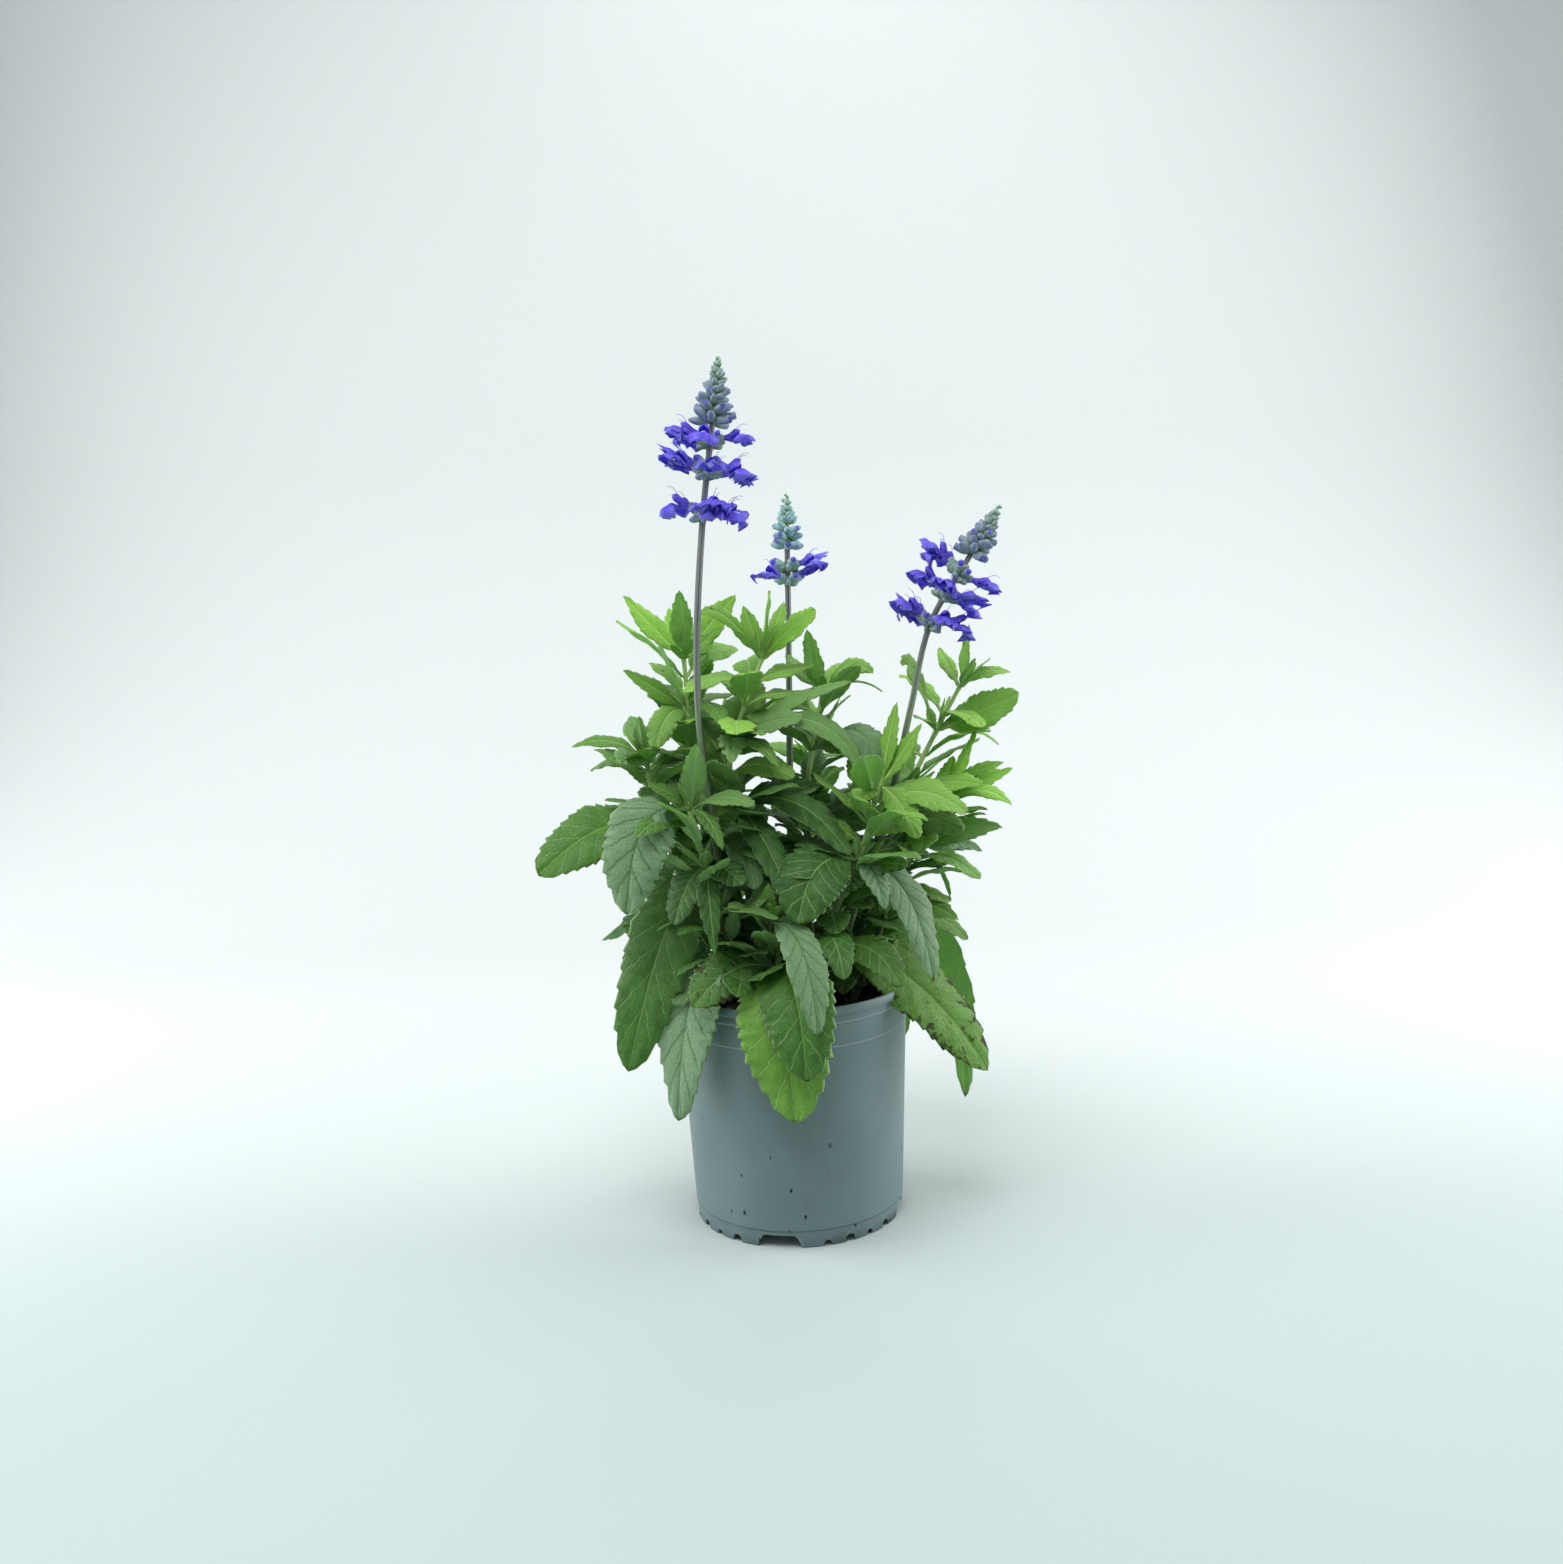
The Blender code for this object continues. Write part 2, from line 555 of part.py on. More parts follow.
# For each shoot, from the soil up: the node's height above the soil, then its leaves. A leaf is
# the (x, y, height) of its tip, its width, its arch and its roll; arch is how far the midrib is
# pulled up, as a share of the leaf's length, and roll turns the blade about the midrib.
FOLIAGE = {
    "top_left": [
        (98, [(-69, -20, 110, 18, 0.2, -20), (-70, 44, 106, 22, 0.2, 0), (-16, 34, 112, 18, 0.2, 0),
              (-50, 34, 128, 16, 0.1, 0), (-56, -34, 112, 16, 0.2, 0), (-78, 16, 118, 16, 0.2, -20)]),
        (146, [(-57, -12, 184, 13, 0.0, -40), (-76, 4, 169, 12, 0.1, -40), (-26, -31, 141, 15, 0.4, -20),
               (-66, 36, 160, 15, 0.2, 0), (-24, 40, 152, 16, 0.2, 0), (-61, -18, 132, 15, 0.5, -20),
               (-34, 6, 176, 12, 0.0, 60)]),
        (173, [(-75, 14, 205, 13, 0.0, -50), (-47, 5, 207, 12, 0.0, 20), (-20, 33, 203, 14, 0.0, 50),
               (-31, 18, 186, 11, 0.0, 60), (-54, 34, 198, 11, 0.0, 0), (-38, 2, 186, 9, 0.0, 0)]),
    ],
    "centre": [
        (100, [(30, -46, 82, 18, 0.4, 15), (7, -48, 116, 14, 0.1, 20), (-32, 28, 112, 18, 0.2, 0),
               (3, -54, 60, 15, 0.3, 20), (-15, -40, 66, 18, 0.2, 20), (20, -10, 108, 18, 0.2, 30)]),
        (132, [(10, -26, 145, 15, 0.2, 40), (38, -29, 118, 16, 0.6, 20), (-2, -38, 124, 12, 0.3, 0),
               (-24, -38, 126, 14, 0.4, 0), (-10, 34, 150, 16, 0.2, 0), (35, -10, 160, 13, 0.2, 30)]),
        (172, [(-3, -4, 205, 17, 0.05, 60), (19, -2, 195, 16, 0.1, 50), (-16, 18, 198, 12, 0.0, 0),
               (4, 22, 199, 12, 0.0, 0), (-22, -6, 188, 9, 0.1, 0), (-39, 8, 194, 8, 0.5, -50)]),
    ],
    "centre_right": [
        (84, [(40, -22, 90, 20, 0.3, 30), (-10, 30, 92, 18, 0.2, 0), (14, -34, 94, 18, 0.3, 20),
              (44, 26, 96, 18, 0.2, 0), (45, 0, 104, 18, 0.2, 40)]),
        (124, [(46, -26, 118, 19, 0.6, 20), (40, -16, 124, 14, 0.3, 30), (15, 51, 138, 17, 0.2, 0),
               (44, 34, 132, 16, 0.2, 0), (28, -6, 150, 12, 0.1, 30), (-4, -13, 140, 12, 0.2, 0)]),
        (152, [(39, 0, 169, 12, 0.3, 40), (47, 12, 162, 12, 0.5, 40), (15, 17, 185, 13, 0.0, 30),
               (4, 34, 172, 13, 0.1, 0), (36, 44, 166, 13, 0.2, 0), (52, 20, 152, 8, 0.4, 0)]),
    ],
    "right": [
        (92, [(90, 36, 92, 18, 0.2, 0), (34, 34, 104, 18, 0.2, 0), (62, 34, 112, 14, 0.1, 0),
              (84, -4, 106, 13, 0.2, 30), (66, -14, 118, 12, 0.2, 20)]),
        (132, [(118, 6, 150, 20, 0.0, 50), (61, 9, 165, 12, 0.6, -50), (86, 38, 132, 14, 0.2, 0),
               (65, -12, 142, 11, 0.1, -20), (111, 27, 122, 12, 0.3, 20)]),
        (153, [(95, 14, 184, 10, 0.0, 60), (117, 24, 159, 10, 0.3, 30), (82, 34, 172, 9, 0.1, 0),
               (97, 7, 168, 8, 0.0, 0)]),
    ],
    "right_low": [
        (40, [(90, 6, 26, 15, 0.4, 40), (92, 48, -72, 24, 0.9, 0), (58, 58, -44, 20, 0.9, 0),
              (84, -10, 40, 14, 0.4, 40)]),
        (72, [(107, -6, 85, 14, 0.2, 50), (100, 18, 69, 14, 0.3, 40), (84, 24, 44, 12, 0.5, 20),
              (86, 40, 62, 16, 0.3, 0)]),
        (95, [(95, -5, 133, 14, 0.0, 60), (112, 20, 114, 12, 0.2, 30), (114, 4, 113, 12, 0.1, 40),
              (111, -12, 97, 11, 0.4, 30), (88, 34, 116, 11, 0.1, 0)]),
    ],
    "low_centre": [
        (25, [(5, -84, -14, 35, 0.8, 25), (-1, -74, -37, 34, 0.9, 20), (-46, -60, 16, 25, 0.4, -40)]),
        (49, [(11, -86, 8, 19, 0.7, 0), (-2, -54, 62, 10, 0.1, 0), (-20, -51, 60, 10, 0.1, 0),
              (-9, -46, 70, 8, 0.0, 0)]),
    ],
    "left": [
        (44, [(-97, 36, 26, 28, 0.3, -20), (-82, -20, 30, 13, 0.4, 0), (-72, 26, 56, 16, 0.2, 0)]),
        (92, [(-118, -34, 76, 31, 0.3, -45), (-90, 36, 86, 22, 0.2, 0), (-44, 10, 96, 16, 0.1, 0)]),
        (126, [(-103, 0, 133, 12, 0.3, -30), (-76, -28, 127, 15, 0.2, -30), (-76, 30, 144, 14, 0.1, 0),
               (-68, -14, 148, 11, 0.0, -30)]),
    ],
    "left_front": [
        (36, [(-57, -49, -43, 28, 0.9, -10), (-76, -30, 30, 18, 0.3, -30)]),
        (76, [(-80, -42, -20, 35, 0.3, -60), (-21, -46, 70, 17, 0.3, 20), (-54, -46, 52, 18, 0.5, -10),
              (-35, -56, 39, 11, 0.5, 0)]),
        (104, [(-75, -56, 60, 34, 1.0, -30), (-40, -42, 137, 13, 0.0, 0), (-63, -40, 118, 14, 0.2, -30),
               (-14, -50, 108, 15, 0.3, 20), (-29, -52, 88, 11, 0.5, 0)]),
    ],
    "right_front": [
        (30, [(95, -26, -32, 26, 0.4, 40), (51, -54, 20, 22, 0.5, 20), (24, -74, 30, 16, 0.6, 0)]),
        (76, [(4, -62, 54, 33, 0.6, -20), (70, -16, 75, 11, 0.2, 30), (45, -54, 57, 14, 0.5, 0),
              (67, -48, 22, 21, 0.7, 20), (29, -35, 62, 17, 0.3, 0),
              (4, -24, 84, 17, 0.3, -10)]),
        (111, [(56, -16, 150, 10, 0.0, 0), (67, -22, 140, 10, 0.0, 30), (62, -44, 88, 15, 0.3, 30),
               (30, -42, 104, 14, 0.2, 0)]),
    ],
    "back_left": [
        (50, [(-74, 62, 20, 26, 0.4, 0), (-35, 85, 28, 24, 0.4, 0), (-6, 52, 60, 18, 0.2, 0),
              (-68, 36, 62, 20, 0.2, 0), (-52, 64, 60, 16, 0.2, 0)]),
        (114, [(-66, 70, 118, 20, 0.2, 0), (-20, 74, 122, 18, 0.2, 0), (-66, 48, 138, 14, 0.1, 0),
               (-28, 52, 152, 12, 0.0, 0), (-44, 72, 142, 12, 0.1, 0)]),
    ],
    "back": [
        (48, [(-14, 86, 12, 28, 0.5, 0), (38, 86, 6, 26, 0.5, 0), (36, 52, 64, 18, 0.2, 0),
              (-10, 58, 58, 16, 0.2, 0)]),
        (111, [(-12, 84, 120, 19, 0.2, 0), (42, 85, 112, 20, 0.2, 0), (16, 84, 144, 13, 0.1, 0),
               (2, 58, 150, 13, 0.1, 0), (32, 56, 148, 13, 0.1, 0)]),
    ],
    "back_right": [
        (40, [(76, 70, -10, 28, 0.6, 0), (60, 82, 20, 24, 0.4, 0), (80, 40, 44, 18, 0.3, 0),
              (36, 67, 48, 16, 0.2, 0)]),
        (89, [(94, 62, 88, 20, 0.2, 0), (56, 85, 94, 19, 0.2, 0), (86, 42, 116, 14, 0.1, 0),
              (46, 66, 120, 13, 0.1, 0), (72, 66, 122, 11, 0.1, 0)]),
    ],
}
YOUNG_WHORLS = (
    "leaves_top_left_3",
    "leaves_centre_3",
    "leaves_centre_right_3",
    "leaves_right_3",
    "leaves_right_low_3",
    "leaves_right_front_3",
)


def make_leaf_whorl(stem, number, height, leaves):
    node = f"leaves_{stem.name.removesuffix('_shoot')}_{number}"
    spot, along, radius = stem.at(height)
    ring, middle = collar(spot, along, radius)
    shapes = [ring]
    for x, y, rise, width, arch, roll in leaves:
        tip = plant_point(x, y, rise)
        if rise < 0:
            # It hangs down outside the pot, so it keeps to the outside of a wider rim
            tip.xy *= RIM_RADIUS / DRAWN_RIM_RADIUS
        leaf = Leaf(tip, width, arch, roll)
        leaf = settle(leaf, node, stem.name, spot, along, middle)
        full, blade = leaf.shapes(spot, along, middle)
        remember(full, node, blade)
        blade.free()
        shapes.append(full)
    joined(node, shapes, YOUNG_LEAF if node in YOUNG_WHORLS else LEAF_GREEN)


# ---------------------------------------------------------------- flowers

# For each stalk, from the soil up: the whorl's height, the directions in degrees of its open
# flowers, and those of its closed ones. 0 is +X and -90 is the front.
FLOWERS = {
    "left": [
        (241, [182, 150, -8, 24, -60], [100, -120, 60]),
        (261, [176, 204, 2, -25, -88, 70], [130, -140, 35]),
        (274, [192, -12], [60, 110, 150, -60, -110]),
    ],
    "middle": [
        (208, [-130], [0, 60, 120, 180, -60]),
        (215, [20], [80, 150, 210, -70]),
    ],
    "right": [
        (186, [165, 200, -20, -70], [40, 100, -120]),
        (199, [150, 185, 5, -45], [60, 100, -90]),
        (209, [175, -10], [60, 110, -60, -120]),
    ],
}
CONE_LENGTHS = {"left": 0.032, "middle": 0.028, "right": 0.028}
CONE_RADIUS = {"left": 0.0095, "middle": 0.0085, "right": 0.0080}
FLOWER_RISE = 30.0


def floret(spot, along, turn, start, opened):
    """A calyx, and when it is open a corolla with a tube, a broad lower lip and a narrow hood."""
    across = Vector((math.cos(math.radians(turn)), math.sin(math.radians(turn)), 0))
    across = (across - along * across.dot(along)).normalized()
    rise = math.radians(FLOWER_RISE)
    ahead = across * math.cos(rise) + along * math.sin(rise)
    side = along.cross(across)
    top = ahead.cross(side)
    foot = spot + across * start
    rings = []
    for share, wide in ((0.0, 0.35), (0.5, 1.0), (1.0, 0.75)):
        size = CALYX_RADIUS * wide
        rings.append(oval(foot + ahead * CALYX_LENGTH * share, side * size, top * size, 4))
    shapes = [loft(rings)]
    if not opened:
        return shapes
    mouth = foot + ahead * CALYX_LENGTH * 0.8
    level = (across * 0.97 + along * 0.10).normalized()
    drop = (across * 0.6 - along * 0.8).normalized()
    throat = mouth + level * COROLLA_REACH * 0.45
    lip = throat + level * COROLLA_REACH * 0.30
    flat = (along - across * 0.3) * 0.0006
    rings = [
        oval(mouth, side * 0.0010, top * 0.0010, 4),
        oval(throat, side * 0.0017, top * 0.0016, 4),
        oval(lip, side * LIP_HALF_WIDTH, flat, 4),
        oval(lip + drop * COROLLA_REACH * 0.42, side * LIP_HALF_WIDTH * 0.6, flat, 4),
    ]
    shapes.append(loft(rings))
    return shapes


def make_flower_whorl(stem, number, height, opened, closed):
    node = f"flowers_{stem.name.removesuffix('_stalk')}_{number}"
    spot, along, radius = stem.at(height)
    ring, middle = collar(spot, along, radius)
    shapes = [ring]
    for turn in opened:
        shapes += floret(spot, along, turn, middle, True)
    for turn in closed:
        shapes += floret(spot, along, turn, middle, False)
    for shape in shapes:
        remember(shape, node)
    joined(node, shapes, FLOWER_BLUE)


def make_bud_cone(stem, label):
    """Closed buds in tiers that get smaller up to the tip, standing on the end of the stalk."""
    end = stem.line[-1]
    along = (stem.line[-1] - stem.line[-2]).normalized()
    side = along.orthogonal().normalized()
    other = along.cross(side)
    length = CONE_LENGTHS[label]
    wide = CONE_RADIUS[label]
    foot = end + along * GAP
    tiers = 4
    rings = [oval(foot, side * wide * 0.35, other * wide * 0.35, 8)]
    for tier in range(tiers):
        low = tier / tiers
        size = wide * (1 - low) ** 0.8 + 0.0012
        rings.append(oval(foot + along * length * (low + 0.09), side * size, other * size, 8))
        rings.append(oval(foot + along * length * (low + 0.21), side * size * 0.72, other * size * 0.72, 8))
    rings.append([foot + along * length])
    shape = loft(rings)
    node = f"bud_cone_{label}"
    remember(shape, node)
    return add_object(node, mesh_from(shape, node), PARTS, BUD_GREY)


# ---------------------------------------------------------------- soil


def make_soil(stems):
    depth_floor = FLOOR_HEIGHT + WALL + GAP
    profile = [
        (0.0, SOIL_TOP),
        (0.016, SOIL_TOP),
        (0.032, SOIL_TOP),
        (0.046, SOIL_TOP),
        (wall_radius(BAND_BOTTOM) - WALL - GAP, SOIL_TOP - SOIL_HEAVE),
        (wall_radius(BAND_BOTTOM) - WALL - 2 * GAP, BAND_BOTTOM),
        (wall_radius(depth_floor) - 2 * WALL - 2 * GAP, depth_floor + WALL),
        (wall_radius(depth_floor) - 3 * WALL, depth_floor),
        (0.0, depth_floor),
    ]
    soil = turned("potting_soil", profile, SOIL_STEPS, PARTS, SOIL_PEAT)
    bpy.context.view_layer.update()
    graph = bpy.context.evaluated_depsgraph_get()
    mesh = bpy.data.meshes.new_from_object(soil.evaluated_get(graph))
    soil.modifiers.clear()
    soil.data = mesh
    for corner in mesh.vertices:
        radius = math.hypot(corner.co.x, corner.co.y)
        if corner.co.z > SOIL_TOP - GAP and radius < 0.05:
            heave = math.sin(corner.co.x * 310 + 1) * math.cos(corner.co.y * 270) - 0.6
            corner.co.z += SOIL_HEAVE * heave
    group = bpy.data.collections.new("stem_holes")
    CUTTERS.children.link(group)
    for stem in stems:
        drill = bmesh.new()
        flats = math.cos(math.pi / 8)
        bmesh.ops.create_cone(
            drill,
            cap_ends=True,
            segments=8,
            radius1=(stem.foot_radius + GAP) / flats,
            radius2=(stem.foot_radius + 2 * GAP) / flats,
            depth=ROOTED_DEPTH + GAP + 0.004,
        )
        hole = bpy.data.objects.new(stem.name + "_hole", mesh_from(drill, stem.name + "_hole"))
        hole.location = stem.root + Vector((0, 0, (ROOTED_DEPTH - GAP + 0.004) / 2))
        hole.hide_render = True
        hole.display_type = "WIRE"
        group.objects.link(hole)
    cut = soil.modifiers.new("stem holes", "BOOLEAN")
    cut.operation = "DIFFERENCE"
    cut.solver = "EXACT"
    cut.operand_type = "COLLECTION"
    cut.collection = group
    return soil


# ---------------------------------------------------------------- assembly

pot = make_pot()
bpy.context.view_layer.update()
pot_shape = bmesh.new()
pot_shape.from_object(pot, bpy.context.evaluated_depsgraph_get())
remember(pot_shape, "plastic_pot")
pot_shape.free()

stalks = {
    label: Stem(f"{label}_stalk", route, STALK_RADIUS, STALK_TIP_RADIUS, STALK_SKIN)
    for label, route in STALK_ROUTES.items()
}
shoots = {
    label: Stem(f"{label}_shoot", route, SHOOT_RADIUS, SHOOT_TIP_RADIUS, SHOOT_SKIN)
    for label, route in SHOOT_ROUTES.items()
}
for stem in list(stalks.values()) + list(shoots.values()):
    stem.make()
make_soil(list(stalks.values()) + list(shoots.values()))

for label, stem in stalks.items():
    make_bud_cone(stem, label)
    for number, (height, opened, closed) in enumerate(FLOWERS[label], 1):
        make_flower_whorl(stem, number, height, opened, closed)

for label, whorls in FOLIAGE.items():
    for number, (height, leaves) in enumerate(whorls, 1):
        make_leaf_whorl(shoots[label], number, height, leaves)
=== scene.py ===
"""A mealycup salvia in its nursery pot: how the real plant looks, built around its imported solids.

The pot's axis is +Z and the plant's front is -Y. Lists of places in the plant are millimetres, with
heights measured from the top of the soil.
"""

import math
import random

import bmesh
import bpy
import numpy as np
from mathutils import Matrix, Vector


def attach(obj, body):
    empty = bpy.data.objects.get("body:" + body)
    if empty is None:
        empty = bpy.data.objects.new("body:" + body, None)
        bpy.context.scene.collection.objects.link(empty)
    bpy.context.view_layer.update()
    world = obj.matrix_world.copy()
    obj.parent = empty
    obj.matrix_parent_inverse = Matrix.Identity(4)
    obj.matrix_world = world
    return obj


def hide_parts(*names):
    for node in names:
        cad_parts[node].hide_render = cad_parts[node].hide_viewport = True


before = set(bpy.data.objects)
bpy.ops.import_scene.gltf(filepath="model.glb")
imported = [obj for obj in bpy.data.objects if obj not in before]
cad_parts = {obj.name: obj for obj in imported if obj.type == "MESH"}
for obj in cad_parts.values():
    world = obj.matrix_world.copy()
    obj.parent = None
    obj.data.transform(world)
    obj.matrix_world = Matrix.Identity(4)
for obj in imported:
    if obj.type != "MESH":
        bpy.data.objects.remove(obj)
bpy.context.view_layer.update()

# ---------------------------------------------------------------- camera
# It stands in front of the pot and a little above its rim, and looks slightly down.
CAMERA_SIDE = -0.0008
CAMERA_AWAY = 0.756
CAMERA_UP = 0.330
CAMERA_PITCH = 8.35
CAMERA_TILT = 2.35
LENS_MM = 35.68


def new_object(name, data):
    thing = bpy.data.objects.new(name, data)
    bpy.context.scene.collection.objects.link(thing)
    return thing


lens = bpy.data.cameras.new("viewer")
lens.sensor_width = 36.0
lens.sensor_fit = "HORIZONTAL"
lens.lens = LENS_MM
lens.clip_start = 0.01
viewer = new_object("viewer", lens)
viewer.matrix_world = (
    Matrix.Translation((CAMERA_SIDE, -CAMERA_AWAY, CAMERA_UP))
    @ Matrix.Rotation(math.radians(90 - CAMERA_PITCH), 4, "X")
    @ Matrix.Rotation(math.radians(-CAMERA_TILT), 4, "Z")
)
bpy.context.scene.camera = viewer

# ---------------------------------------------------------------- pot
# A thin-walled nursery pot, injection moulded in blue-grey polypropylene. It has a rolled lip, two
# shallow ledges below it, a seam line above the foot, and notches that let water run out.
MM = 0.001
RIM_RADIUS = 0.060
POT_HEIGHT = 0.120
FOOT_RADIUS = 0.052
WALL = 0.0012
POT_STEPS = 192
FLOOR_HEIGHT = 0.0055
LIP_TOP_RADIUS = 0.0006
LEDGE_DROP = 0.0084
BAND_DROP = 0.0200
SEAM_HEIGHT = 0.0085
NOTCH_TURNS = (-102.0, -12.0, 78.0, 168.0)
NOTCH_TOP, NOTCH_FOOT, NOTCH_HEIGHT = 0.0160, 0.0245, 0.0064
SMALL_NOTCHES = (26.0, 39.0, 52.0, 65.0)
SMALL_NOTCH_RADII = (0.0019, 0.0027)
DRAINS, DRAIN_RADIUS, DRAIN_CIRCLE = 6, 0.0035, 0.036
POT_BLUE = (0.118, 0.176, 0.180, 1)
POT_PALE = (0.160, 0.228, 0.234, 1)
# The pale colour of the painted highlights along the ledges and the top of the lip
PAINTED_EDGE_HIGHLIGHT = (0.360, 0.450, 0.440, 1)
DUST = (0.300, 0.330, 0.310, 1)
WET_PEAT = (0.020, 0.016, 0.012, 1)


class Wire:
    """A socket in a material's nodes. Sums on it add the Math nodes that work them out."""

    def __init__(self, tree, socket=None):
        self.tree = tree
        self.socket = socket

    def node(self, kind, settings=(), sockets=(), output=0):
        """One more node: its settings first, then the values or links of its sockets."""
        made = self.tree.nodes.new("ShaderNode" + kind)
        for name, value in dict(settings).items():
            setattr(made, name, value)
        for place, value in dict(sockets).items():
            if isinstance(value, Wire):
                self.tree.links.new(value.socket, made.inputs[place])
            else:
                made.inputs[place].default_value = value
        return Wire(self.tree, made.outputs[output])

    def sum(self, operation, first, second=0.0):
        return self.node("Math", {"operation": operation}, {0: first, 1: second})

    def __add__(self, other):
        return self.sum("ADD", self, other)

    __radd__ = __add__

    def __sub__(self, other):
        return self.sum("SUBTRACT", self, other)

    def __rsub__(self, other):
        return self.sum("SUBTRACT", other, self)

    def __mul__(self, other):
        return self.sum("MULTIPLY", self, other)

    __rmul__ = __mul__

    def __truediv__(self, other):
        return self.sum("DIVIDE", self, other)

    def __pow__(self, other):
        return self.sum("POWER", self, other)

    def __abs__(self):
        return self.sum("ABSOLUTE", self)

    def __or__(self, other):
        """The larger of the two, so that one mark lies over another."""
        return self.sum("MAXIMUM", self, other)

    def over(self, low, high):
        """0 where the value is below low, 1 above high, and smooth between them."""
        ends = {0: self, 1: low, 2: high, 3: 0.0, 4: 1.0}
        return self.node("MapRange", {"interpolation_type": "SMOOTHSTEP"}, ends)

    def tint(self, first, second):
        """The first colour where the value is 0 and the second where it is 1."""
        return self.node("Mix", {"data_type": "RGBA"}, {0: self, 6: first, 7: second}, 2)


def new_finish(name, **fixed):
    """A material, a wire to start its nodes from, and its main shader."""
    material = bpy.data.materials.new(name)
    material.use_nodes = True
    surface = material.node_tree.nodes["Principled BSDF"]
    for socket, value in fixed.items():
        surface.inputs[socket.replace("_", " ")].default_value = value
    return material, Wire(material.node_tree), surface


def feed(wire, surface, sockets):
    for name, value in sockets.items():
        wire.tree.links.new(value.socket, surface.inputs[name])


def here(wire):
    """The place on the surface, in metres."""
    return wire.node("NewGeometry")


def stretched(wire, place, scale):
    return wire.node("Mapping", {}, {"Vector": place, "Scale": scale})


def grains(wire, place, scale, detail, output=0):
    """Cloudy noise: a value, or with output 1 a vector."""
    return wire.node("TexNoise", {}, {"Vector": place, "Scale": scale, "Detail": detail}, output)


def cells(wire, place, scale, output=0):
    """How far the nearest of some scattered points is, or with output 1 its own random colour."""
    return wire.node("TexVoronoi", {}, {"Vector": place, "Scale": scale}, output)


def axis(wire, vector, number):
    """One of a vector's three numbers."""
    return wire.node("SeparateXYZ", {}, {0: vector}, number)


def bumps(wire, strength, distance, height):
    return wire.node("Bump", {}, {"Strength": strength, "Distance": distance, "Height": height})


def new_piece(name, mesh, material, slot, *stands_for):
    """Puts a finished mesh in the scene as a piece that stands for some of the solids."""
    piece = new_object(name, mesh)
    mesh.materials.append(material)
    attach(piece, "root")
    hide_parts(*stands_for)


def round_axis(radius, turn, height=0.0):
    """The place at a turn and a radius round Z."""
    return Vector((radius * math.cos(turn), radius * math.sin(turn), height))


def turned_shape(profile, steps):
    """A closed ring of (radius, height) points, turned about Z. Points on the axis make a cap."""
    shape = bmesh.new()
    rings = []
    for radius, height in profile:
        if radius < 1e-6:
            rings.append([shape.verts.new((0, 0, height))])
            continue
        ring = []
        for step in range(steps):
            ring.append(shape.verts.new(round_axis(radius, 2 * math.pi * step / steps, height)))
        rings.append(ring)
    for low, high in zip(rings, rings[1:]):
        for step in range(steps):
            after = (step + 1) % steps
            if len(low) == 1:
                shape.faces.new([low[0], high[after], high[step]])
            elif len(high) == 1:
                shape.faces.new([low[step], low[after], high[0]])
            else:
                shape.faces.new([low[step], low[after], high[after], high[step]])
    bmesh.ops.recalc_face_normals(shape, faces=shape.faces)
    return shape


def wall_at(height):
    return FOOT_RADIUS + (RIM_RADIUS - 0.0026 - FOOT_RADIUS) * height / POT_HEIGHT


def pot_profile():
    top = POT_HEIGHT
    lip = RIM_RADIUS
    edge = LIP_TOP_RADIUS
    outside = [
        (0.0, FLOOR_HEIGHT),
        (wall_at(0) - 0.0052, FLOOR_HEIGHT),
        (wall_at(0) - 0.0034, FLOOR_HEIGHT - 0.0012),
        (wall_at(0) - 0.0016, 0.0004),
        (wall_at(0) - 0.0012, 0.0),
        (wall_at(0) - 0.0004, 0.0),
        (wall_at(0), 0.0005),
        (wall_at(SEAM_HEIGHT), SEAM_HEIGHT - 0.0003),
        (wall_at(SEAM_HEIGHT) + 0.0004, SEAM_HEIGHT + 0.0001),
        (wall_at(SEAM_HEIGHT) + 0.0004, SEAM_HEIGHT + 0.0008),
    ]
    band = top - BAND_DROP
    for share in range(1, 8):
        height = SEAM_HEIGHT + (band - SEAM_HEIGHT) * share / 8
        outside.append((wall_at(height) + 0.0004, height))
    wide = wall_at(band) + 0.0009
    outside += [
        (wall_at(band) + 0.0004, band - 0.0006),
        (wide - 0.0003, band - 0.0001),
        (wide, band + 0.0004),
        (wide + 0.0001, top - LEDGE_DROP - 0.0005),
        (wide + 0.0006, top - LEDGE_DROP),
        (wide + 0.0007, top - LEDGE_DROP + 0.0005),
        (wide + 0.0006, top - 0.0048),
        (lip - 0.0006, top - 0.0043),
        (lip - 0.0001, top - 0.0038),
        (lip, top - 0.0030),
        (lip, top - 0.0012),
        (lip - edge * 0.5, top - 0.0004),
        (lip - edge * 1.6, top),
        (lip - edge * 3.2, top - 0.0002),
        (lip - 0.0029, top - 0.0010),
    ]
    inside = [
        (wide - WALL + 0.0003, top - 0.0050),
        (wide - WALL, band + 0.0010),
        (wall_at(band) + 0.0004 - WALL, band - 0.0010),
        (wall_at(band / 2) - WALL + 0.0003, band / 2),
        (wall_at(FLOOR_HEIGHT) - WALL - 0.0006, FLOOR_HEIGHT + WALL + 0.0006),
        (wall_at(FLOOR_HEIGHT) - WALL - 0.0016, FLOOR_HEIGHT + WALL),
        (0.0, FLOOR_HEIGHT + WALL),
    ]
    return outside + inside


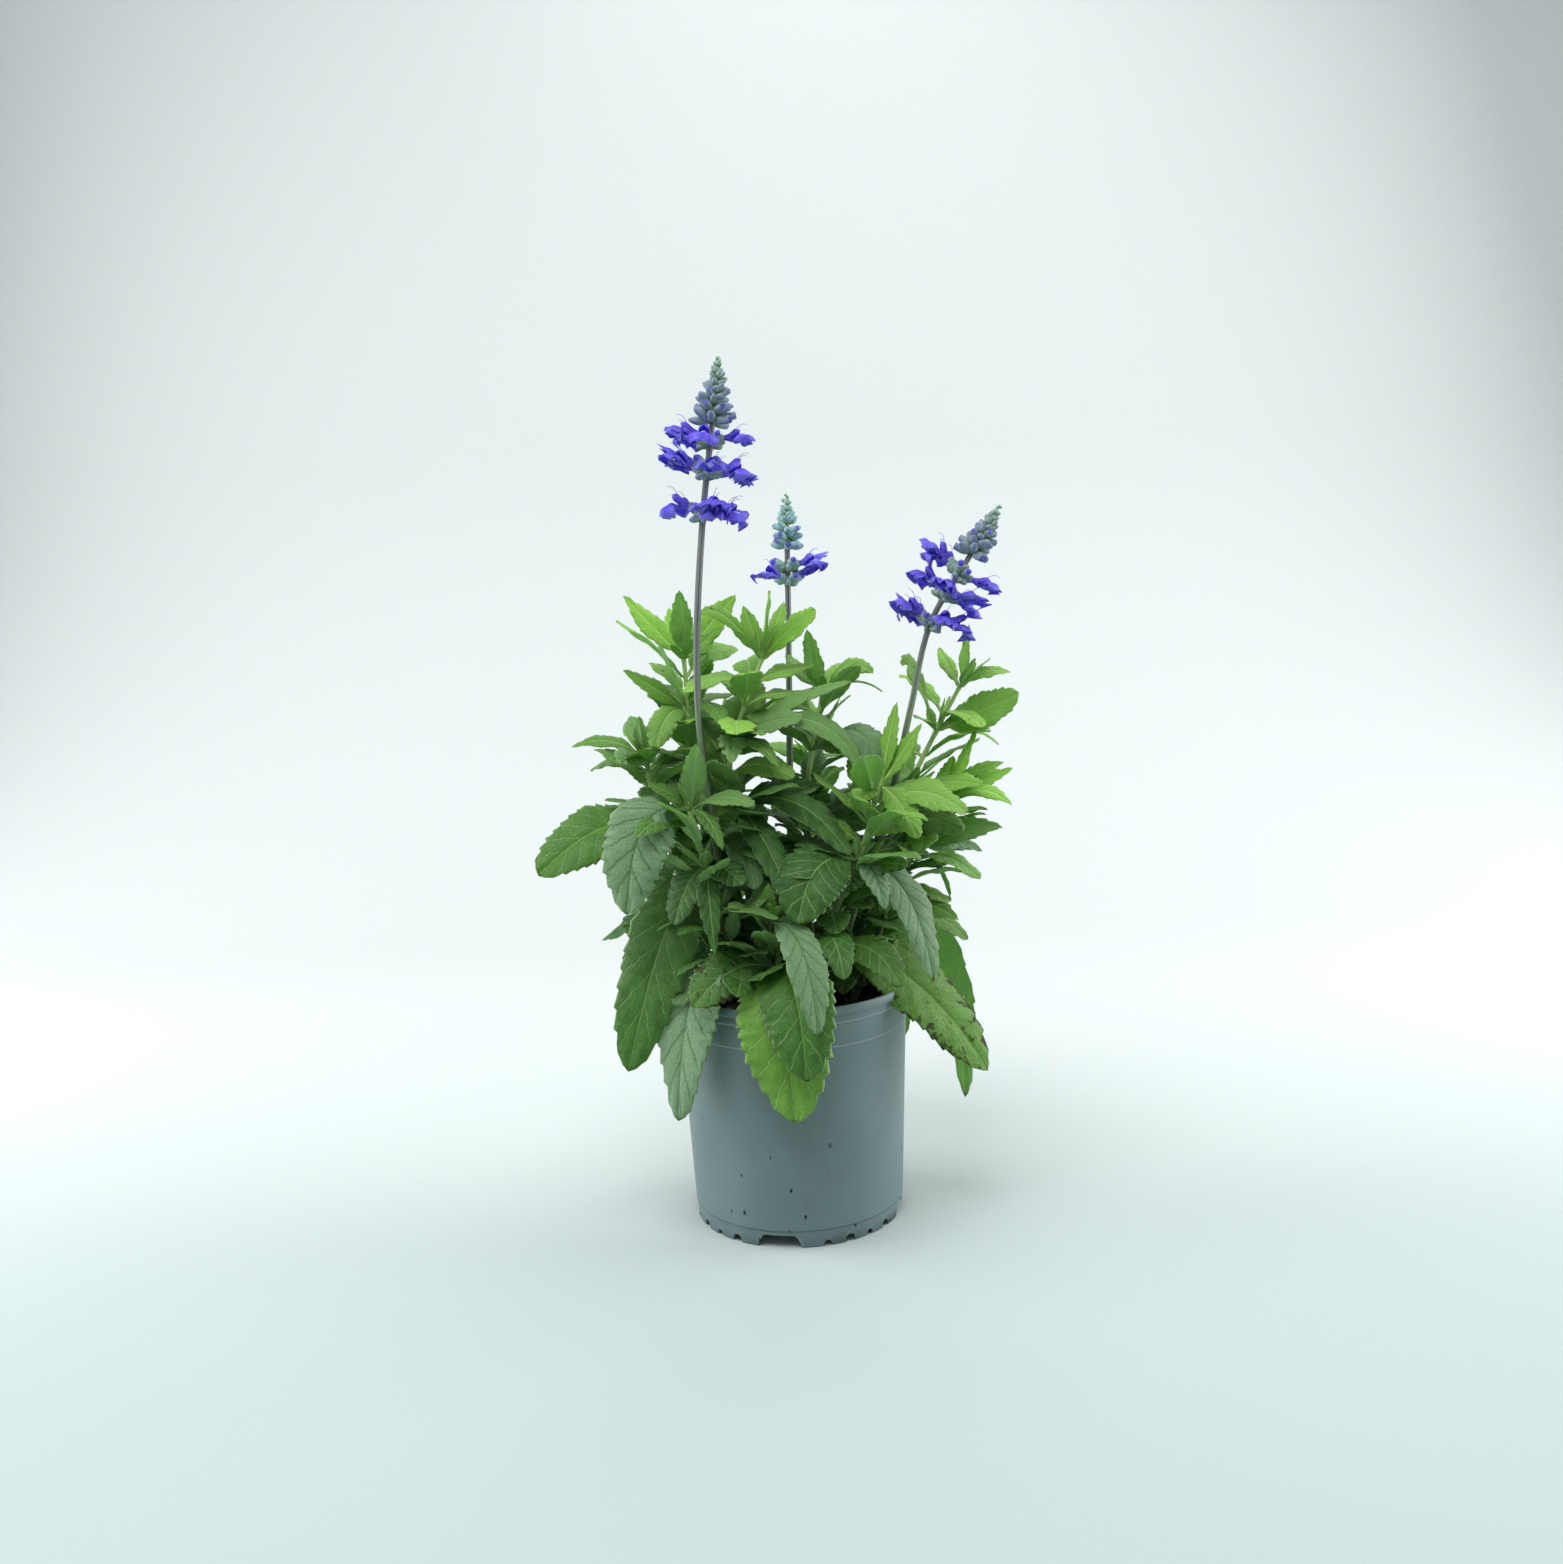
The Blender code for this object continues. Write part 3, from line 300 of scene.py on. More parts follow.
def foot_cutters():
    """Wedges for the notches round the foot and rods for the holes in the floor, as one shape."""
    cutters = bmesh.new()

    def radial(turn, outline):
        facing = Matrix.Rotation(math.radians(turn), 3, "Z")
        near, far = [], []
        for across, height in outline:
            near.append(cutters.verts.new(facing @ Vector((0.043, across, height))))
            far.append(cutters.verts.new(facing @ Vector((0.062, across, height))))
        cutters.faces.new(near)
        cutters.faces.new(far[::-1])
        for i in range(len(outline)):
            j = (i + 1) % len(outline)
            cutters.faces.new([near[i], far[i], far[j], near[j]])

    for turn in NOTCH_TURNS:
        foot, top, high = NOTCH_FOOT / 2, NOTCH_TOP / 2, NOTCH_HEIGHT
        radial(turn, [(-foot, -0.002), (foot, -0.002), (top + 0.0006, high - 0.001), (top - 0.0006, high),
                      (0.0006 - top, high), (-top - 0.0006, high - 0.001)])
        for number, offset in enumerate(SMALL_NOTCHES):
            radius = SMALL_NOTCH_RADII[number % 2]
            outline = [(-radius, -0.002), (radius, -0.002)]
            for step in range(9):
                bend = round_axis(radius, math.pi * step / 8)
                outline.append((bend.x, 0.0012 + bend.y))
            radial(turn + offset, outline)
    for number in range(DRAINS):
        spot = round_axis(DRAIN_CIRCLE, 2 * math.pi * number / DRAINS, FLOOR_HEIGHT)
        bmesh.ops.create_cone(cutters, cap_ends=True, segments=24, radius1=DRAIN_RADIUS,
                              radius2=DRAIN_RADIUS, depth=0.010, matrix=Matrix.Translation(spot))
    bmesh.ops.recalc_face_normals(cutters, faces=cutters.faces)
    return cutters


def mesh_of(shape, name):
    mesh = bpy.data.meshes.new(name)
    shape.to_mesh(mesh)
    shape.free()
    return mesh


def cut(mesh, cutter_shape, name):
    """The mesh with the cutters taken out of it."""
    body = new_object(name + "_blank", mesh)
    tool = new_object(name + "_tool", mesh_of(cutter_shape, name + "_tool"))
    bite = body.modifiers.new("bite", "BOOLEAN")
    bite.operation = "DIFFERENCE"
    bite.solver = "EXACT"
    bite.object = tool
    bpy.context.view_layer.update()
    done = bpy.data.meshes.new_from_object(body.evaluated_get(bpy.context.evaluated_depsgraph_get()))
    for thing in (body, tool):
        bpy.data.objects.remove(thing, do_unlink=True)
    return done


pot_mesh = cut(mesh_of(turned_shape(pot_profile(), POT_STEPS), "pot"), foot_cutters(), "pot")
pot_mesh.shade_smooth()
pot_mesh.set_sharp_from_angle(angle=math.radians(38))

pot_finish, wire, surface = new_finish("pot_plastic_finish", Roughness=0.42)
spot = here(wire)
height = axis(wire, spot, 2)
mottle = grains(wire, spot, 38.0, 4.0)
rubbed = grains(wire, spot, 210.0, 3.0)
scuffs = grains(wire, stretched(wire, spot, (60.0, 60.0, 900.0)), 1.0, 3.0).over(0.62, 0.78)
dashed = stretched(wire, spot, (1.0, 1.0, 0.55))
crumbs = cells(wire, dashed, 125.0)
patchy = grains(wire, spot, 26.0, 2.0)
low_down = 1 - height.over(0.030, 0.085)
# About four crumbs in five stick, picked by the random colour of their cell
chosen = axis(wire, cells(wire, dashed, 125.0, 1), 0).over(0.20, 0.22)
ragged = crumbs + rubbed * 0.16
specks = (1 - ragged.over(0.16, 0.20)) * chosen * low_down * patchy.over(0.36, 0.44)
# A thin dark line all round the pot along the seam step
seam_dark_line = 1 - abs(height - SEAM_HEIGHT - 0.0002).over(0.0001, 0.0007)
foot_dirt = (1 - height.over(0.0005, 0.0060)) * patchy.over(0.45, 0.62) * 0.6
plain = (mottle.over(0.30, 0.72) * 0.35).tint(POT_BLUE, POT_PALE)
# Painted highlight: thin pale lines where the ledge, the band's step and the top of the lip catch the light
ledge = 1 - abs(height - (POT_HEIGHT - LEDGE_DROP + 0.0001)).over(0.0001, 0.0005)
step_edge = 1 - abs(height - (POT_HEIGHT - BAND_DROP + 0.0002)).over(0.0001, 0.0005)
lip_edge = height.over(POT_HEIGHT - 0.0008, POT_HEIGHT + 0.0004)
plain = ((ledge | step_edge) * 0.55 + lip_edge * 0.35).tint(plain, PAINTED_EDGE_HIGHLIGHT)
hazed = (rubbed.over(0.55, 0.75) * 0.06 + scuffs * 0.08).tint(plain, DUST)
# Soil specks and dirt at the foot, together with the dark line at the seam
dirt_and_seam_line = specks | seam_dark_line * 0.35 | foot_dirt
colour = dirt_and_seam_line.tint(hazed, WET_PEAT)
feed(wire, surface, {
    "Base Color": colour,
    "Roughness": 0.40 + mottle * 0.12 + dirt_and_seam_line * 0.4,
    "Normal": bumps(wire, 0.18, 0.0002, rubbed + scuffs * 0.6 + specks * 3),
})
new_piece("plastic_pot_shell", pot_mesh, pot_finish, "pot_plastic", "plastic_pot")

# ---------------------------------------------------------------- soil
# Moist peat compost that fills the pot to 12 mm below its lip. The top is loose: crumbs of peat of
# all sizes, a few fibres, and hollows where water has settled it.
SOIL_TOP = 0.108
SOIL_RADIUS = 0.0562
SOIL_TAPER = 0.0052
SOIL_RINGS, SOIL_STEPS = 46, 150
SOIL_FOOT = 0.0092
CRUMB_COUNT = 520
FIBRE_COUNT = 46
PEAT_DARK = (0.014, 0.010, 0.007, 1)
PEAT_BROWN = (0.062, 0.040, 0.024, 1)
PEAT_FIBRE = (0.150, 0.105, 0.065, 1)


class Gather:
    """Many small shapes that become one mesh, with facts such as a tone kept at each corner."""

    def __init__(self, *facts):
        self.places, self.faces = [], []
        self.facts = {name: [] for name in facts}
        self.count = 0

    def add(self, places, faces, **facts):
        places = np.asarray(places, float).reshape(-1, 3)
        self.places.append(places)
        self.faces += [[corner + self.count for corner in face] for face in faces]
        for name, value in facts.items():
            self.facts[name].append(np.broadcast_to(np.asarray(value, float), places.shape))
        self.count += len(places)

    def mesh(self, name):
        made = bpy.data.meshes.new(name)
        made.from_pydata(np.concatenate(self.places).tolist(), [], self.faces)
        for fact, values in self.facts.items():
            layer = made.attributes.new(fact, "FLOAT_VECTOR", "POINT")
            layer.data.foreach_set("vector", np.concatenate(values).astype(np.float32).ravel())
        made.shade_smooth()
        made.validate()
        return made


def kept_facts(wire, name):
    """The three numbers of a fact that a mesh keeps at its corners, one wire for each."""
    kept = wire.node("Attribute", {"attribute_name": name}, (), 1)
    return [axis(wire, kept, number) for number in range(3)]


def corners_and_faces(shape):
    """The places of a shape's corners, and its faces as numbers of corners."""
    shape.verts.index_update()
    places = np.array([corner.co[:] for corner in shape.verts])
    faces = [[corner.index for corner in face.verts] for face in shape.faces]
    shape.free()
    return places, faces


def unit_noise(places, scale, seed):
    """A smooth value from -1 to 1 at each place, made of a few waves in fixed directions."""
    draw = np.random.default_rng(seed)
    total = np.zeros(len(places))
    for _ in range(7):
        way = draw.normal(size=3)
        way *= scale * draw.uniform(0.6, 1.6) / np.linalg.norm(way)
        total += np.sin(places @ way + draw.uniform(0, 6.28))
    return total / 4.0


def tube_faces(rings, steps, capped=True):
    faces = []
    for ring in range(rings - 1):
        for step in range(steps):
            after = (step + 1) % steps
            low, high = ring * steps, (ring + 1) * steps
            faces.append([low + step, low + after, high + after, high + step])
    if capped:
        faces.append(list(range(steps))[::-1])
        faces.append([(rings - 1) * steps + step for step in range(steps)])
    return faces


def square_to(line, out=None):
    """For each point of a line, two directions that are square to the line there."""
    for number in range(len(line)):
        before, after = line[max(number - 1, 0)], line[min(number + 1, len(line) - 1)]
        along = (after - before).normalized()
        out = along.orthogonal() if out is None else out - along * out.dot(along)
        out = out.normalized()
        yield out, along.cross(out)


def tube(line, radii, steps):
    """Corners of a round tube that follows a line of points."""
    places = []
    for spot, radius, (out, side) in zip(line, radii, square_to(line)):
        for step in range(steps):
            turn = 2 * math.pi * step / steps
            places.append(spot + (out * math.cos(turn) + side * math.sin(turn)) * radius)
    return places


soil = Gather("crumb")
soil_profile = [(0.0, SOIL_FOOT)]
soil_profile.append((SOIL_RADIUS - SOIL_TAPER - 0.001, SOIL_FOOT))
soil_profile.append((SOIL_RADIUS - SOIL_TAPER, SOIL_FOOT + 0.001))
for share in range(1, 9):
    high = SOIL_FOOT + (SOIL_TOP - 0.004 - SOIL_FOOT) * share / 8
    soil_profile.append((SOIL_RADIUS - SOIL_TAPER * (1 - share / 8), high))
for ring in range(SOIL_RINGS):
    soil_profile.append((SOIL_RADIUS * (1 - (ring + 0.5) / SOIL_RINGS) ** 0.9, SOIL_TOP))
soil_profile.append((0.0, SOIL_TOP))
bed_places, bed_faces = corners_and_faces(turned_shape(soil_profile, SOIL_STEPS))
heave = unit_noise(bed_places, 130, 3) * 0.0016 + unit_noise(bed_places, 520, 5) * 0.0008
heave += unit_noise(bed_places, 1500, 8) * 0.0005
topside = bed_places[:, 2] > SOIL_TOP - 0.001
bed_places[topside, 2] += heave[topside] - 0.0008
soil.add(bed_places, bed_faces, crumb=(0.3, 0, 0))
draw = random.Random(11)
half_round = [(math.sin(math.pi * ring / 6), -math.cos(math.pi * ring / 6)) for ring in range(7)]
lump, lump_faces = corners_and_faces(turned_shape(half_round, 9))
for number in range(CRUMB_COUNT):
    size = 0.0006 + 0.0024 * draw.random() ** 3
    reach = (SOIL_RADIUS - 0.003) * math.sqrt(draw.random())
    spot = np.array(round_axis(reach, draw.uniform(0, 2 * math.pi), SOIL_TOP - 0.0004 + size * 0.3))
    squeeze = np.array([draw.uniform(0.7, 1.2), draw.uniform(0.7, 1.2), draw.uniform(0.5, 0.9)])
    rough = 1 + 0.30 * unit_noise(lump, 2.6, number)[:, None]
    soil.add(spot + lump * squeeze * size * rough, lump_faces, crumb=(draw.random(), 0, 0))
for number in range(FIBRE_COUNT):
    reach = (SOIL_RADIUS - 0.010) * math.sqrt(draw.random())
    start = round_axis(reach, draw.uniform(0, 2 * math.pi), SOIL_TOP + 0.0004)
    way = draw.uniform(0, 2 * math.pi)
    length = draw.uniform(0.004, 0.010)
    line = []
    for step in range(6):
        share = step / 5 - 0.5
        bow = round_axis(0.25 * length * share * share, way + math.pi / 2)
        line.append(start + round_axis(length * share, way, 0.0012 * math.cos(share * 3)) + bow)
    soil.add(tube(line, [0.00018] * 6, 5), tube_faces(6, 5), crumb=(1.0, 1.0, 0))

soil_finish, wire, surface = new_finish("soil_peat_finish", Roughness=0.9)
spot = here(wire)
crumb, fibre, _ = kept_facts(wire, "crumb")
coarse = grains(wire, spot, 320.0, 5.0)
fine = grains(wire, spot, 1500.0, 4.0)
peat = (coarse * 0.5 + fine * 0.3 + crumb * 0.4).over(0.35, 0.95).tint(PEAT_DARK, PEAT_BROWN)
feed(wire, surface, {
    "Base Color": (fibre * 0.8).tint(peat, PEAT_FIBRE),
    "Roughness": 0.78 + fine * 0.2,
    "Normal": bumps(wire, 0.6, 0.0006, coarse + fine),
})
new_piece("potting_soil_bed", soil.mesh("soil"), soil_finish, "soil_peat", "potting_soil")

# ---------------------------------------------------------------- stems
# Square stems, as in all sages. Three flower stalks are grey-violet with dark streaks in fine ribs.
# The leafy shoots are green, brightest near their tips, and swell a little at each pair of leaves.
STALK_ROUTES = {
    "left": [(-24, -4, 0), (-31, -14, 60), (-38, -23, 130), (-38, -26, 180), (-33, -25, 235),
             (-26, -22, 284)],
    "middle": [(1, 9, 0), (2, 24, 60), (4, 33, 120), (6, 38, 185), (7, 40, 226)],
    "right": [(18, -7, 0), (33, -12, 50), (52, -13, 104), (63, -11, 146), (74, -7, 186), (95, -4, 219)],
}
SHOOT_ROUTES = {
    "top_left": [(-31, 6, 0), (-38, 9, 60), (-44, 12, 120), (-47, 15, 176)],
    "centre": [(-12, -3, 0), (-20, -4, 60), (-26, -4, 118), (-17, 1, 150), (-7, 4, 174)],
    "centre_right": [(8, 0, 0), (10, 4, 60), (13, 14, 112), (22, 20, 154)],
    "right": [(26, 6, 0), (42, 8, 50), (60, 11, 98), (78, 15, 132), (91, 18, 154)],
    "right_low": [(31, -2, 0), (47, 0, 38), (63, 5, 70), (80, 10, 96)],
    "low_centre": [(-8, -19, 0), (-8, -29, 26), (-10, -36, 50)],
    "left": [(-37, -7, 0), (-50, -8, 55), (-61, -5, 98), (-68, 0, 128)],
    "left_front": [(-21, -20, 0), (-30, -28, 40), (-38, -32, 75), (-45, -33, 106)],
    "right_front": [(7, -16, 0), (18, -24, 40), (35, -29, 78), (46, -27, 112)],
    "back_left": [(-16, 17, 0), (-28, 34, 60), (-38, 46, 115)],
    "back": [(8, 22, 0), (12, 44, 60), (16, 58, 112)],
    "back_right": [(22, 17, 0), (42, 36, 50), (58, 46, 90)],
}
WHORL_HEIGHTS = {
    "top_left": (98, 146, 173), "centre": (100, 132, 172), "centre_right": (84, 124, 152),
    "right": (92, 132, 153), "right_low": (40, 72, 95), "low_centre": (25, 49), "left": (44, 92, 126),
    "left_front": (36, 76, 104), "right_front": (30, 76, 111), "back_left": (50, 114),
    "back": (48, 111), "back_right": (40, 89),
}
STALK_WHORLS = {"left": (241, 261, 274), "middle": (208, 215), "right": (186, 199, 209)}
ROOTED_DEPTH = 0.014
STALK_RADII = (0.0019, 0.0013)
SHOOT_RADII = (0.0020, 0.0010)
KNOT_SWELL, KNOT_LENGTH = 0.28, 0.0022
SAMPLES_PER_SPAN = 24
STEM_SIDES = 24
STEM_FROST = (0.420, 0.500, 0.420, 1)


def held(value, low=0.0, high=1.0):
    return min(max(value, low), high)


def plant_point(x, y, height):
    return Vector((x * MM, y * MM, SOIL_TOP + height * MM))


class Stem:
    """A stem's middle line, a smooth curve through its route, and its radius along it."""

    def __init__(self, route, radii, knots):
        spots = [plant_point(*point) for point in route]
        spots = [2 * spots[0] - spots[1]] + spots + [2 * spots[-1] - spots[-2]]
        self.line = []
        for i in range(1, len(spots) - 2):
            a, b, c, d = spots[i - 1: i + 3]
            for step in range(SAMPLES_PER_SPAN):
                t = step / SAMPLES_PER_SPAN
                bend = (2 * a - 5 * b + 4 * c - d) * t * t + (3 * b - a - 3 * c + d) * t * t * t
                self.line.append(b + ((c - a) * t + bend) / 2)
        self.line.append(spots[-2])
        self.radii = radii
        self.knots = [SOIL_TOP + knot * MM for knot in knots]

    def at(self, height):
        """Position, direction and radius where the stem reaches a height above the soil."""
        wanted = SOIL_TOP + height * MM
        for low, high in zip(self.line, self.line[1:]):
            if high.z >= wanted:
                break
        share = min((wanted - low.z) / (high.z - low.z), 1.0)
        return low.lerp(high, share), (high - low).normalized(), self.radius(wanted)

    def radius(self, z):
        share = held((z - SOIL_TOP) / (self.line[-1].z - SOIL_TOP))
        plain = self.radii[0] + (self.radii[1] - self.radii[0]) * share
        swell = sum(math.exp(-((z - knot) / KNOT_LENGTH) ** 2) for knot in self.knots)
        return plain * (1 + KNOT_SWELL * swell)


def stem_mesh(name, stem, ribs):
    line = [stem.line[0] - Vector((0, 0, ROOTED_DEPTH))] + stem.line
    gathered = Gather("run")
    places, facts = [], []
    run = 0.0
    before = line[0]
    for spot, (out, side) in zip(line, square_to(line, Vector((1, 0.3, 0)))):
        run += (spot - before).length
        before = spot
        radius = stem.radius(spot.z) * (0.5 if spot is line[-1] else 1.0)
        for step in range(STEM_SIDES):
            turn = 2 * math.pi * step / STEM_SIDES
            shape = 1 + 0.09 * math.cos(4 * turn) + ribs * math.cos(12 * turn)
            places.append(spot + (out * math.cos(turn) + side * math.sin(turn)) * radius * shape)
            facts.append((math.cos(turn), math.sin(turn), run * 100))
    gathered.add(places, tube_faces(len(line), STEM_SIDES), run=facts)
    return gathered.mesh(name)


stalks = {label: Stem(route, STALK_RADII, STALK_WHORLS[label]) for label, route in STALK_ROUTES.items()}
shoots = {label: Stem(route, SHOOT_RADII, WHORL_HEIGHTS[label]) for label, route in SHOOT_ROUTES.items()}


def stem_finish(name, low_colour, high_colour, streak_colour, streaks, low_end, high_end):
    """Streaks that run along the stem, over a colour that changes from the soil to the tip."""
    material, wire, surface = new_finish(name, Roughness=0.5)
    run = wire.node("Attribute", {"attribute_name": "run"}, (), 1)
    height = axis(wire, here(wire), 2)
    lines = grains(wire, stretched(wire, run, (2.6, 2.6, 0.10)), 1.6, 3.0)
    hairs = grains(wire, stretched(wire, run, (6.0, 6.0, 1.2)), 3.0, 4.0)
    plain = height.over(low_end, high_end).tint(low_colour, high_colour)
    colour = (lines.over(0.44, 0.60) * streaks).tint(plain, streak_colour)
    frosted = (hairs.over(0.45, 0.75) * 0.25).tint(colour, STEM_FROST)
    relief = bumps(wire, 0.5, 0.0002, lines + hairs * 0.6)
    feed(wire, surface, {"Base Color": frosted, "Roughness": 0.42 + hairs * 0.3, "Normal": relief})
    return material


stalk_finish = stem_finish("stalk_skin_finish", (0.130, 0.220, 0.070, 1), (0.165, 0.178, 0.172, 1),
                           (0.030, 0.028, 0.044, 1), 0.78, 0.22, 0.31)
shoot_finish = stem_finish("shoot_skin_finish", (0.070, 0.115, 0.030, 1), (0.380, 0.580, 0.180, 1),
                           (0.120, 0.220, 0.060, 1), 0.35, 0.14, 0.22)
for label, stem in stalks.items():
    new_piece(f"{label}_flower_stalk", stem_mesh(label + "_stalk", stem, 0.030), stalk_finish,
              "stalk_skin", f"{label}_stalk")
for label, stem in shoots.items():
    new_piece(f"{label}_leafy_shoot", stem_mesh(label + "_shoot", stem, 0.010), shoot_finish,
              "shoot_skin", f"{label}_shoot")

